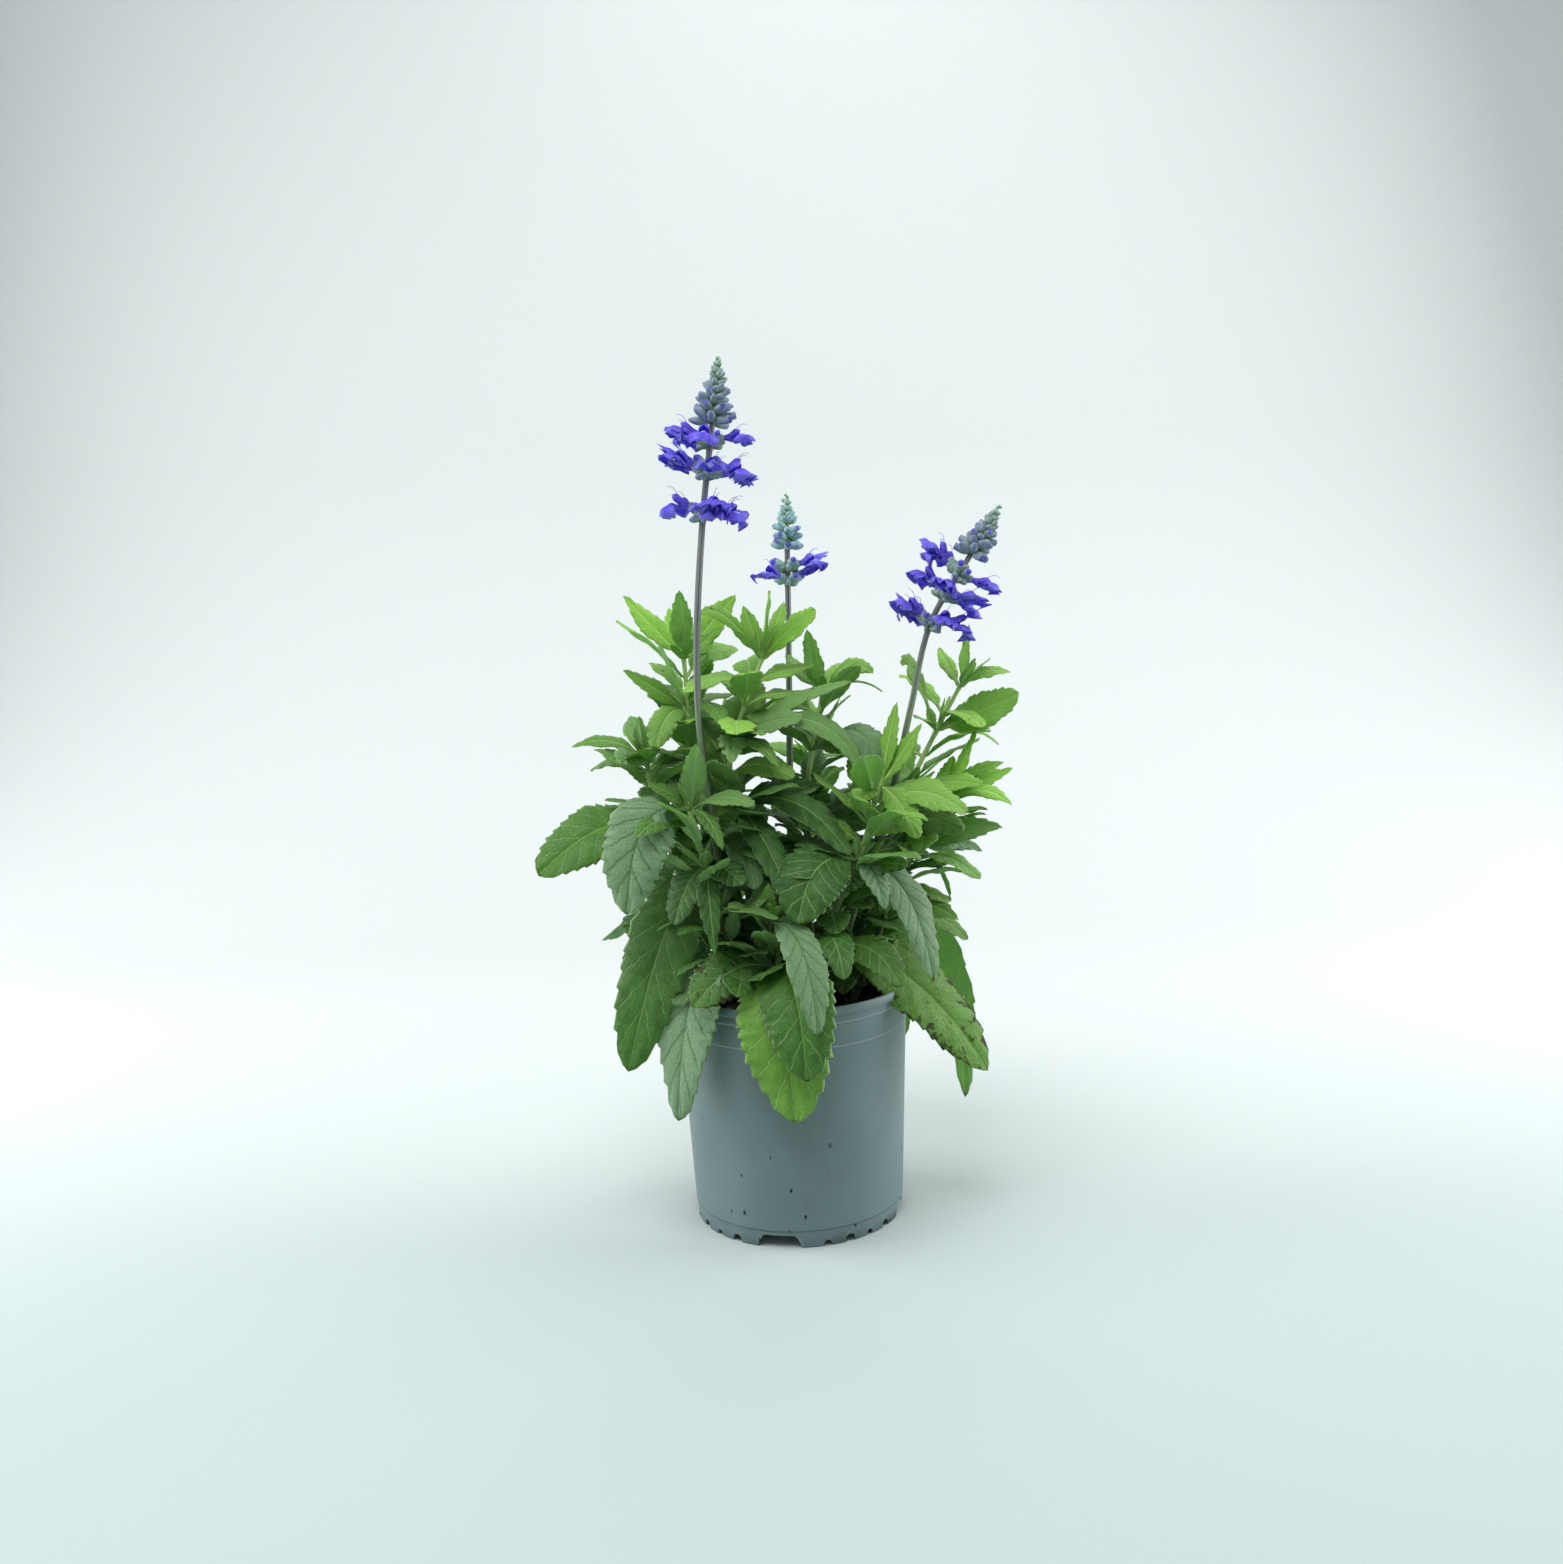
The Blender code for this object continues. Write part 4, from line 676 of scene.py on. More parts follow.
# ---------------------------------------------------------------- leaves
# Soft ovate leaves in pairs on short stalks. The blade has shallow teeth, a sunken midrib and side
# veins with the skin puffed up a little between them, a green face and a paler, mealy underside.
# The youngest leaves at the shoot tips are narrow and yellow-green.
# For each shoot, from the soil up, the leaves at each of its nodes. A leaf is the (x, y, height) of
# its tip, its width, its arch and its roll; arch is how far the midrib is pulled up, as a share of
# the leaf's length, and roll turns the blade about the midrib.
FOLIAGE = {
    "top_left": [
        [(-69, -20, 110, 18, 0.2, -20), (-70, 44, 106, 22, 0.2, 0), (-16, 34, 112, 18, 0.2, 0),
         (-50, 34, 128, 16, 0.1, 0), (-56, -34, 112, 16, 0.2, 0), (-78, 16, 118, 16, 0.2, -20)],
        [(-57, -12, 184, 13, 0.0, -40), (-76, 4, 169, 12, 0.1, -40), (-26, -31, 141, 15, 0.4, -20),
         (-66, 36, 160, 15, 0.2, 0), (-24, 40, 152, 16, 0.2, 0), (-61, -18, 132, 15, 0.5, -20),
         (-34, 6, 176, 12, 0.0, 60)],
        [(-75, 14, 205, 13, 0.0, -50), (-47, 5, 207, 12, 0.0, 20), (-20, 33, 203, 14, 0.0, 50),
         (-31, 18, 186, 11, 0.0, 60), (-54, 34, 198, 11, 0.0, 0), (-38, 2, 186, 9, 0.0, 0)],
    ],
    "centre": [
        [(30, -46, 82, 18, 0.4, 15), (7, -48, 116, 14, 0.1, 20), (-32, 28, 112, 18, 0.2, 0),
         (3, -54, 60, 15, 0.3, 20), (-15, -40, 66, 18, 0.2, 20), (20, -10, 108, 18, 0.2, 30)],
        [(10, -26, 145, 15, 0.2, 40), (38, -29, 118, 16, 0.6, 20), (-2, -38, 124, 12, 0.3, 0),
         (-24, -38, 126, 14, 0.4, 0), (-10, 34, 150, 16, 0.2, 0), (35, -10, 160, 13, 0.2, 30)],
        [(-3, -4, 205, 17, 0.05, 60), (19, -2, 195, 16, 0.1, 50), (-16, 18, 198, 12, 0.0, 0),
         (4, 22, 199, 12, 0.0, 0), (-22, -6, 188, 9, 0.1, 0), (-39, 8, 194, 8, 0.5, -50)],
    ],
    "centre_right": [
        [(40, -22, 90, 20, 0.3, 30), (-10, 30, 92, 18, 0.2, 0), (14, -34, 94, 18, 0.3, 20),
         (44, 26, 96, 18, 0.2, 0), (45, 0, 104, 18, 0.2, 40)],
        [(46, -26, 118, 19, 0.6, 20), (40, -16, 124, 14, 0.3, 30), (15, 51, 138, 17, 0.2, 0),
         (44, 34, 132, 16, 0.2, 0), (28, -6, 150, 12, 0.1, 30), (-4, -13, 140, 12, 0.2, 0)],
        [(39, 0, 169, 12, 0.3, 40), (47, 12, 162, 12, 0.5, 40), (15, 17, 185, 13, 0.0, 30),
         (4, 34, 172, 13, 0.1, 0), (36, 44, 166, 13, 0.2, 0), (52, 20, 152, 8, 0.4, 0)],
    ],
    "right": [
        [(90, 36, 92, 18, 0.2, 0), (34, 34, 104, 18, 0.2, 0), (62, 34, 112, 14, 0.1, 0),
         (84, -4, 106, 13, 0.2, 30), (66, -14, 118, 12, 0.2, 20)],
        [(118, 6, 150, 20, 0.0, 50), (61, 9, 165, 12, 0.6, -50), (86, 38, 132, 14, 0.2, 0),
         (65, -12, 142, 11, 0.1, -20), (111, 27, 122, 12, 0.3, 20)],
        [(95, 14, 184, 10, 0.0, 60), (117, 24, 159, 10, 0.3, 30), (82, 34, 172, 9, 0.1, 0),
         (97, 7, 168, 8, 0.0, 0)],
    ],
    "right_low": [
        [(90, 6, 26, 15, 0.4, 40), (92, 48, -72, 24, 0.9, 0), (58, 58, -44, 20, 0.9, 0),
         (84, -10, 40, 14, 0.4, 40)],
        [(107, -6, 85, 14, 0.2, 50), (100, 18, 69, 14, 0.3, 40), (84, 24, 44, 12, 0.5, 20),
         (86, 40, 62, 16, 0.3, 0)],
        [(95, -5, 133, 14, 0.0, 60), (112, 20, 114, 12, 0.2, 30), (114, 4, 113, 12, 0.1, 40),
         (111, -12, 97, 11, 0.4, 30), (88, 34, 116, 11, 0.1, 0)],
    ],
    "low_centre": [
        [(5, -84, -14, 35, 0.8, 25), (-1, -74, -37, 34, 0.9, 20), (-46, -60, 16, 25, 0.4, -40)],
        [(11, -86, 8, 19, 0.7, 0), (-2, -54, 62, 10, 0.1, 0), (-20, -51, 60, 10, 0.1, 0),
         (-9, -46, 70, 8, 0.0, 0)],
    ],
    "left": [
        [(-97, 36, 26, 28, 0.3, -20), (-82, -20, 30, 13, 0.4, 0), (-72, 26, 56, 16, 0.2, 0)],
        [(-118, -34, 76, 31, 0.3, -45), (-90, 36, 86, 22, 0.2, 0), (-44, 10, 96, 16, 0.1, 0)],
        [(-103, 0, 133, 12, 0.3, -30), (-76, -28, 127, 15, 0.2, -30), (-76, 30, 144, 14, 0.1, 0),
         (-68, -14, 148, 11, 0.0, -30)],
    ],
    "left_front": [
        [(-57, -49, -43, 28, 0.9, -10), (-76, -30, 30, 18, 0.3, -30)],
        [(-80, -42, -20, 35, 0.3, -60), (-21, -46, 70, 17, 0.3, 20), (-54, -46, 52, 18, 0.5, -10),
         (-35, -56, 39, 11, 0.5, 0)],
        [(-75, -56, 60, 34, 1.0, -30), (-40, -42, 137, 13, 0.0, 0), (-63, -40, 118, 14, 0.2, -30),
         (-14, -50, 108, 15, 0.3, 20), (-29, -52, 88, 11, 0.5, 0)],
    ],
    "right_front": [
        [(95, -26, -32, 26, 0.4, 40), (51, -54, 20, 22, 0.5, 20), (24, -74, 30, 16, 0.6, 0)],
        [(4, -62, 54, 33, 0.6, -20), (70, -16, 75, 11, 0.2, 30), (45, -54, 57, 14, 0.5, 0),
         (67, -48, 22, 21, 0.7, 20), (29, -35, 62, 17, 0.3, 0), (4, -24, 84, 17, 0.3, -10)],
        [(56, -16, 150, 10, 0.0, 0), (67, -22, 140, 10, 0.0, 30), (62, -44, 88, 15, 0.3, 30),
         (30, -42, 104, 14, 0.2, 0)],
    ],
    "back_left": [
        [(-74, 62, 20, 26, 0.4, 0), (-35, 85, 28, 24, 0.4, 0), (-6, 52, 60, 18, 0.2, 0),
         (-68, 36, 62, 20, 0.2, 0), (-52, 64, 60, 16, 0.2, 0)],
        [(-66, 70, 118, 20, 0.2, 0), (-20, 74, 122, 18, 0.2, 0), (-66, 48, 138, 14, 0.1, 0),
         (-28, 52, 152, 12, 0.0, 0), (-44, 72, 142, 12, 0.1, 0)],
    ],
    "back": [
        [(-14, 86, 12, 28, 0.5, 0), (38, 86, 6, 26, 0.5, 0), (36, 52, 64, 18, 0.2, 0),
         (-10, 58, 58, 16, 0.2, 0)],
        [(-12, 84, 120, 19, 0.2, 0), (42, 85, 112, 20, 0.2, 0), (16, 84, 144, 13, 0.1, 0),
         (2, 58, 150, 13, 0.1, 0), (32, 56, 148, 13, 0.1, 0)],
    ],
    "back_right": [
        [(76, 70, -10, 28, 0.6, 0), (60, 82, 20, 24, 0.4, 0), (80, 40, 44, 18, 0.3, 0),
         (36, 67, 48, 16, 0.2, 0)],
        [(94, 62, 88, 20, 0.2, 0), (56, 85, 94, 19, 0.2, 0), (86, 42, 116, 14, 0.1, 0),
         (46, 66, 120, 13, 0.1, 0), (72, 66, 122, 11, 0.1, 0)],
    ],
}
YOUNG_WHORLS = ("top_left_3", "centre_3", "centre_right_3", "right_3", "right_low_3", "right_front_3")
# How leaves differ: (tone, youth) for the leaves at a node, and (tone, youth, wear) for single ones.
# Tone 0 is deep green and 1 is pale grey-green, partly the leaf's own mealy grey and partly a painted
# sheen of light off its hairs. Youth 1 is the yellow-green of a new leaf, and wear 1 is spotted and
# brown-edged.
WHORL_LOOKS = {
    "top_left": ((0.30, 0.05), (0.40, 0.35), (0.45, 1.0)),
    "centre": ((0.20, 0.0), (0.40, 0.30), (0.40, 1.0)),
    "centre_right": ((0.15, 0.0), (0.35, 0.10), (0.45, 0.60)),
    "right": ((0.30, 0.35), (0.45, 0.75), (0.40, 1.0)),
    "right_low": ((0.35, 0.25), (0.50, 0.70), (0.45, 1.0)),
    "low_centre": ((0.25, 0.15), (0.30, 0.10)),
    "left": ((0.20, 0.0), (0.45, 0.05), (0.40, 0.25)),
    "left_front": ((0.30, 0.0), (0.25, 0.0), (0.25, 0.10)),
    "right_front": ((0.25, 0.05), (0.30, 0.0), (0.25, 0.65)),
    "back_left": ((0.25, 0.0), (0.40, 0.45)),
    "back": ((0.25, 0.0), (0.40, 0.45)),
    "back_right": ((0.25, 0.0), (0.40, 0.45)),
}
LEAF_LOOKS = {
    "left_front_1": {0: (0.85, 0.0, 0.1)},
    "left_front_2": {0: (0.18, 0.05, 0.1), 1: (0.30, 0.0, 0.2)},
    "left_front_3": {0: (0.75, 0.0, 0.1)},
    "low_centre_1": {0: (0.22, 0.05, 0.1), 1: (0.30, 0.46, 0.1), 2: (0.35, 0.12, 1.0)},
    "low_centre_2": {0: (0.70, 0.0, 0.1), 1: (0.2, 0.9, 0.0), 2: (0.2, 0.8, 0.0), 3: (0.2, 0.9, 0.0)},
    "left_2": {0: (0.30, 0.14, 0.1)},
    "right_front_1": {0: (0.20, 0.32, 0.9), 1: (0.20, 0.10, 0.2), 2: (0.10, 0.0, 0.0)},
    "right_front_2": {0: (0.15, 0.0, 0.2), 3: (0.80, 0.0, 0.3), 2: (0.80, 0.0, 0.0)},
    "right_low_2": {1: (0.80, 0.0, 0.8), 0: (0.60, 0.25, 0.1), 2: (0.70, 0.0, 0.2)},
    "right_low_3": {0: (0.30, 1.0, 0.0)},
}
LEAF_FOLD = 10.0
BROAD_LEAF = 14.5
BROAD_OUTLINE, SLIM_OUTLINE = (0.62, 0.58), (0.80, 0.95)
TEETH_START, TEETH_RUN = 0.17, 0.79
TOOTH_LEAST, TOOTH_SHARE = 0.00045, 0.034
PUFF_HEIGHT, MIDRIB_DIP, WAVE_HEIGHT = 0.00085, 0.00055, 0.0011
EDGE_DROOP = 0.20
MIDRIB_THICK, VEIN_THICK = 0.00075, 0.00012
PETIOLE_SHARE = 0.14
PETIOLE_HALF = 0.0009
BLADE_THICK = 0.00032
TOOTH_PLACES = (0.0, 0.48, 0.88)
BROAD_COLUMNS = (0.0, 0.05, 0.13, 0.26, 0.40, 0.54, 0.68, 0.81, 0.92, 1.0)
SLIM_COLUMNS = (0.0, 0.08, 0.25, 0.45, 0.66, 0.86, 1.0)
BROADER = {("low_centre_1", 1): 1.30, ("left_front_1", 0): 1.30, ("right_front_1", 0): 1.40}
SIDE_VEINS = 6.5
VEIN_SLANT = 0.34
AXIL_LEAVES, AXIL_CLIMB, AXIL_LENGTH = 5, (35, 68), (0.011, 0.021)
FILL_STEP, FILL_CLIMB, FILL_LENGTH = 10.0, (-8, 46), (0.026, 0.046)
FILL_REACH = (0.102, 0.076)
LEAF_DEEP = (0.019, 0.074, 0.010, 1)
LEAF_MID = (0.078, 0.205, 0.042, 1)
LEAF_MEALY_SHEEN = (0.255, 0.400, 0.230, 1)
LEAF_NEW = (0.340, 0.710, 0.072, 1)
LEAF_UNDER = (0.230, 0.400, 0.185, 1)
VEIN_PALE = (0.290, 0.500, 0.160, 1)
VEIN_NEW = (0.680, 0.900, 0.320, 1)
VEIN_DEEP = (0.070, 0.165, 0.062, 1)
LEAF_EDGE = (0.450, 0.640, 0.310, 1)
LEAF_BROWN = (0.045, 0.026, 0.014, 1)
LEAF_GLOW = (0.340, 0.660, 0.050, 1)
LIGHT_THROUGH = 0.32


def sheet(top, low):
    """Corners and faces of a thin closed sheet from two grids that share their rim."""
    rows, columns = top.shape[:2]
    index = np.arange(rows * columns).reshape(rows, columns)
    under = index.copy()
    inner = rows * columns + np.arange((rows - 2) * (columns - 2))
    under[1:-1, 1:-1] = inner.reshape(rows - 2, columns - 2)
    places = np.concatenate([top.reshape(-1, 3), low[1:-1, 1:-1].reshape(-1, 3)])
    faces = []
    for grid, turned_over in ((index, False), (under, True)):
        corners = np.stack([grid[:-1, :-1], grid[1:, :-1], grid[1:, 1:], grid[:-1, 1:]], -1).reshape(-1, 4)
        faces += (corners[:, ::-1] if turned_over else corners).tolist()
    return places, faces


def sheet_facts(top_facts, low_facts):
    return np.concatenate([top_facts.reshape(-1, 3), low_facts[1:-1, 1:-1].reshape(-1, 3)])


def smooth_step(values, low, high):
    share = np.clip((values - low) / (high - low), 0, 1)
    return share * share * (3 - 2 * share)


def leaf_rows(teeth):
    """Shares of the blade's length at which it is shaped: two or three to each tooth."""
    rows = [0.0, 0.02, 0.05, 0.09, 0.13]
    for tooth in range(teeth):
        for place in TOOTH_PLACES:
            rows.append(TEETH_START + TEETH_RUN * (tooth + place) / teeth)
    return np.array(rows + [0.965, 0.985, 1.0])


def add_leaf(gathered, tip, node_spot, stem_way, start, width, arch, roll, looks, seed):
    """One leaf from the middle of its stem to its tip."""
    draw = np.random.default_rng(seed)
    out = Vector((tip.x - node_spot.x, tip.y - node_spot.y, 0)).normalized()
    foot = node_spot + (out - stem_way * out.dot(stem_way)).normalized() * start
    side = Vector((0, 0, 1)).cross(out)
    span = tip - foot
    throw = 0.42 + 0.5 * held((arch - 0.3) / 0.5)
    pull = foot + span * throw + Vector((0, 0, arch * span.length))
    broad = width > BROAD_LEAF
    teeth = 11 if width > 24 else (9 if broad else 6)
    blade = leaf_rows(teeth)
    shares = np.concatenate([[0.0, 0.35, 0.7], PETIOLE_SHARE + (1 - PETIOLE_SHARE) * blade])
    shares[1:3] *= PETIOLE_SHARE
    blade = np.concatenate([[0.0, 0.0, 0.0], blade])
    half = BROAD_COLUMNS if broad else SLIM_COLUMNS
    across = np.array([-v for v in half[:0:-1]] + list(half))
    # The outline, with teeth that point to the tip and differ from one side to the other
    rise, fall = BROAD_OUTLINE if broad else SLIM_OUTLINE
    peak = rise / (rise + fall)
    outline = blade ** rise * (1 - blade) ** fall / (peak ** rise * (1 - peak) ** fall)
    half_width = outline * width * MM / 2
    beat = (blade - TEETH_START) / TEETH_RUN * teeth
    bite = np.where((beat >= 0) & (beat < teeth), np.minimum(beat % 1.0, 0.88) / 0.88, 0.5) - 0.5
    depth = (TOOTH_LEAST + TOOTH_SHARE * width * MM) * smooth_step(blade, 0.14, 0.28)
    uneven = 0.65 + 0.7 * draw.random((2, len(blade)))
    left = half_width + bite * depth * uneven[0]
    right = half_width + bite * depth * uneven[1]
    petiole = 1 - smooth_step(blade, 0.0, 0.10)
    left = np.maximum(left, PETIOLE_HALF * petiole)
    right = np.maximum(right, PETIOLE_HALF * petiole)
    left[-1] = right[-1] = 0.00003
    span_x = np.where(across[None, :] < 0, left[:, None], right[:, None]) * across[None, :]
    # How far each place stands off the plane of the blade
    length = span.length * (1 - PETIOLE_SHARE)
    b, v = blade[:, None], across[None, :]
    reach = np.abs(span_x)
    bladed = 1 - petiole[:, None]
    fold = math.tan(math.radians(LEAF_FOLD)) * (1.05 - 0.55 * b) * bladed
    phase = (b - VEIN_SLANT * np.abs(v) ** 0.8 * (1 - 0.45 * b)) * SIDE_VEINS + np.where(v < 0, 0.0, 0.22)
    puff = np.abs(np.sin(math.pi * phase)) ** 0.7 - 0.6
    puff *= smooth_step(np.abs(v), 0.04, 0.25) * (1 - np.abs(v) ** 4) * bladed
    size = width / 30
    swing = 6.28 * (b * draw.uniform(1.6, 2.8) + draw.random())
    waves = np.sin(swing + np.where(v < 0, 0, draw.uniform(1, 5)))
    stand = reach * fold + puff * PUFF_HEIGHT * size
    stand -= MIDRIB_DIP * size * np.exp(-(reach / 0.0008) ** 2) * bladed
    stand -= np.abs(v) ** 3 * half_width[:, None] * EDGE_DROOP * bladed
    stand += waves * v * v * WAVE_HEIGHT * size * bladed
    stand += 0.00022 * (1 - bladed) * v * v
    thick = BLADE_THICK * np.sqrt(1 - np.abs(v) ** 4)
    rib = MIDRIB_THICK * (1 - 0.8 * b) * np.exp(-(reach / 0.00055) ** 2)
    vein = VEIN_THICK * np.exp(-(np.abs(np.sin(math.pi * phase)) / 0.16) ** 2) * (1 - np.abs(v))
    thick = (thick + rib + vein) * bladed + 0.0012 * np.sqrt(1 - v * v) * (1 - bladed)
    # Along the midrib, with a slight sideways bow and twist
    bow = draw.uniform(-0.035, 0.035) * length
    twist = draw.uniform(-9, 9)
    top = np.zeros((len(shares), len(across), 3))
    low = np.zeros_like(top)
    for row, share in enumerate(shares):
        point = foot.lerp(pull, share).lerp(pull.lerp(tip, share), share)
        along = (pull - foot).lerp(tip - pull, share).normalized()
        rolled = min(share / PETIOLE_SHARE, 1.0)
        turn = roll * rolled + twist * math.sin(math.pi * share)
        level = Matrix.Rotation(math.radians(turn), 3, along) @ side
        face = np.array(along.cross(level).normalized())
        level = np.array(level)
        middle = np.array(point) + level * bow * math.sin(math.pi * share)
        top[row] = middle + level * span_x[row][:, None] + face * stand[row][:, None]
        low[row] = top[row] - face * thick[row][:, None]
    places, faces = sheet(top, low)
    shape_facts = np.stack([np.broadcast_to(b, span_x.shape), np.broadcast_to(v, span_x.shape),
                            span_x * 1000], -1)
    tone, youth, wear = looks
    look_facts = np.broadcast_to(np.array([tone, youth, wear]), shape_facts.shape)
    top_side = np.zeros_like(shape_facts)
    top_side[..., 1] = draw.random() * 10
    top_side[..., 2] = length * 1000
    low_side = top_side.copy()
    low_side[..., 0] = 1.0
    top_side[:, 0, 0] = top_side[:, -1, 0] = 0.3
    gathered.add(places, faces, blade=sheet_facts(shape_facts, shape_facts),
                 looks=sheet_facts(look_facts, look_facts), sides=sheet_facts(top_side, low_side))


def short_tip(spot, along, turn, climb, length):
    """Where a short leaf ends that leaves its stem at a turn and climbs some degrees towards it."""
    rise = math.radians(climb)
    return spot + (round_axis(1, turn) * math.cos(rise) + along * math.sin(rise)) * length


def fill_leaves(gathered, label, number, tone, youth, draw):
    """Smaller leaves, two or three to a node, between a whorl and the one below it."""
    nodes = (0,) + WHORL_HEIGHTS[label]
    height = nodes[number - 1] + FILL_STEP * 0.7
    turn = draw.uniform(0, math.pi)
    while height < nodes[number] - 4:
        spot, along, radius = shoots[label].at(height)
        leaves, spread = (3, 2.1) if spot.y < 0.010 else (2, math.pi)
        for order in range(leaves):
            way = turn + spread * order + draw.uniform(-0.5, 0.5)
            climb = draw.uniform(*FILL_CLIMB)
            length = draw.uniform(*FILL_LENGTH)
            tip = short_tip(spot, along, way, climb, length)
            tip.x = held(tip.x, -FILL_REACH[0], FILL_REACH[0])
            tip.y = held(tip.y, -FILL_REACH[1], FILL_REACH[1])
            own = held(tone + draw.uniform(-0.25, 0.25))
            fresh = held(youth * 0.7 + height / 170 * 0.15 + draw.uniform(-0.2, 0.15))
            looks = (own, fresh, draw.random() ** 4)
            width = length * 1000 * draw.uniform(0.38, 0.50)
            add_leaf(gathered, tip, spot, along, radius * 0.5, width, draw.uniform(0.1, 0.4),
                     draw.uniform(-30, 30), looks, int(height * 10) + order)
        turn += math.pi / 2
        height += FILL_STEP


def leaf_whorl(label, number, leaves, height):
    stem = shoots[label]
    spot, along, radius = stem.at(height)
    whorl = f"{label}_{number}"
    gathered = Gather("blade", "looks", "sides")
    seed = list(FOLIAGE).index(label) * 100 + number * 20
    draw = random.Random(seed)
    tone, youth = WHORL_LOOKS[label][number - 1]
    for order, (x, y, rise, width, arch, roll) in enumerate(leaves):
        looks = LEAF_LOOKS.get(whorl, {}).get(order)
        if looks is None:
            own = held(tone + draw.uniform(-0.22, 0.30))
            looks = (own, max(youth + draw.uniform(-0.12, 0.12), 0.0), draw.random() ** 3 * 0.7)
        tip = plant_point(x, y, rise)
        width *= BROADER.get((whorl, order), 1.0)
        add_leaf(gathered, tip, spot, along, radius * 0.5, width, arch, roll, looks, seed + order)
    for order in range(AXIL_LEAVES):
        turn = 2.4 * order + draw.uniform(0, 1.5)
        climb = draw.uniform(*AXIL_CLIMB)
        length = draw.uniform(*AXIL_LENGTH) * (1.0 if number > 1 else 1.3)
        tip = short_tip(spot, along, turn, climb, length)
        looks = (draw.uniform(0.1, 0.4), min(1.0, youth + draw.uniform(0.25, 0.6)), 0.0)
        width = length * 1000 * draw.uniform(0.24, 0.34)
        add_leaf(gathered, tip, spot, along, radius * 0.5, width, 0.12, draw.uniform(-30, 30),
                 looks, seed + 50 + order)
    fill_leaves(gathered, label, number, tone, youth, draw)
    return gathered.mesh(whorl)


def let_light_through(wire, surface, colour, share):
    """Mixes a thin sheet's own shader with the light that shines through it."""
    glow = wire.node("BsdfTranslucent", {}, {"Color": colour})
    both = wire.node("MixShader", {}, {0: share, 1: Wire(wire.tree, surface.outputs[0]), 2: glow})
    feed(wire, wire.tree.nodes["Material Output"], {"Surface": both})


leaf_finish, wire, surface = new_finish("leaf_green_finish", Specular_IOR_Level=0.42)
spot = here(wire)
share, cross, offset = kept_facts(wire, "blade")
tone, youth, wear = kept_facts(wire, "looks")
under, chance, long = kept_facts(wire, "sides")
cross_abs, offset_abs = abs(cross), abs(offset)
# Side veins start in pairs from the midrib and curve towards the tip
lean = cross_abs ** 0.8 * (1 - share * 0.45) * VEIN_SLANT
beat = (share - lean) * SIDE_VEINS + wire.sum("GREATER_THAN", cross, 0.0) * 0.22
near_vein = abs(wire.sum("FRACT", beat + 0.5) - 0.5) * long * (1 / SIDE_VEINS)
side_vein = (1 - near_vein.over(0.12, 0.42)) * (1 - cross_abs.over(0.70, 0.98)) * share.over(0.02, 0.10)
midrib = 1 - (offset_abs / (1.15 - share * 0.8)).over(0.26, 0.70)
flat_place = wire.node("CombineXYZ", {}, {0: share * long * 0.42, 1: offset * 0.42, 2: chance})
warp = grains(wire, flat_place, 1.4, 2.0, 1)
warped = wire.node("VectorMath", {"operation": "ADD"}, {0: flat_place, 1: warp})
meshes = wire.node("TexVoronoi", {"feature": "DISTANCE_TO_EDGE"}, {"Vector": warped, "Scale": 1.25})
net = 1 - meshes.over(0.0, 0.13)
veins = midrib | side_vein * 0.90 | net * 0.16
cloud = grains(wire, flat_place, 0.42, 3.0)
grit = grains(wire, spot, 1900.0, 3.0)
green = (cloud.over(0.30, 0.70) * 0.55 + tone * 0.25).tint(LEAF_DEEP, LEAF_MID)
# High tone turns the green pale grey-green: partly the leaf's own mealy grey, partly a painted sheen of light
# off its hairs
green = tone.over(0.22, 0.95).tint(green, LEAF_MEALY_SHEEN)
green = (youth * 0.92).tint(green, LEAF_NEW)
vein_colour = (tone.over(0.55, 0.75) * (1 - youth)).tint(youth.tint(VEIN_PALE, VEIN_NEW), VEIN_DEEP)
# Painted shade: the green darkens towards deep green in the sunken grooves beside the veins
vein_groove_shade = (1 - near_vein.over(0.30, 1.30)) * 0.30 * (1 - cross_abs.over(0.6, 1.0))
faced = vein_groove_shade.tint(green, LEAF_DEEP)
faced = (veins * 0.80).tint(faced, vein_colour)
back = (cloud.over(0.3, 0.7) * 0.4 + youth * 0.35).tint(LEAF_UNDER, LEAF_NEW)
back = (veins * 0.40).tint(back, LEAF_EDGE)
skin = under.tint(faced, back)
skin = (cross_abs.over(0.95, 0.99) * 0.85).tint(skin, LEAF_EDGE)
rough = {"Vector": flat_place, "Scale": 0.62, "Detail": 6.0, "Roughness": 0.68}
blots = wire.node("TexNoise", {}, rough)
rim_burn = cross_abs.over(0.55, 1.0) * share.over(0.30, 0.85)
burn = (blots + wear * 0.10 + rim_burn * wear * 0.17).over(0.690, 0.715) * wear.over(0.10, 0.35)
dots = 1 - cells(wire, flat_place, 1.0).over(0.06, 0.11)
spotted = dots * wire.sum("GREATER_THAN", blots, 0.50) * wear.over(0.15, 0.7) * 0.8
skin = (burn | spotted).tint(skin, LEAF_BROWN)
relief = grit * 0.25 + net * -0.5 + veins * -0.6 + cloud * 0.4
feed(wire, surface, {
    "Base Color": skin,
    "Roughness": 0.40 + grit * 0.12 + under * 0.22 + burn * 0.3,
    "Normal": bumps(wire, 0.75, 0.0005, relief),
})
let_light_through(wire, surface, LEAF_GLOW, LIGHT_THROUGH)
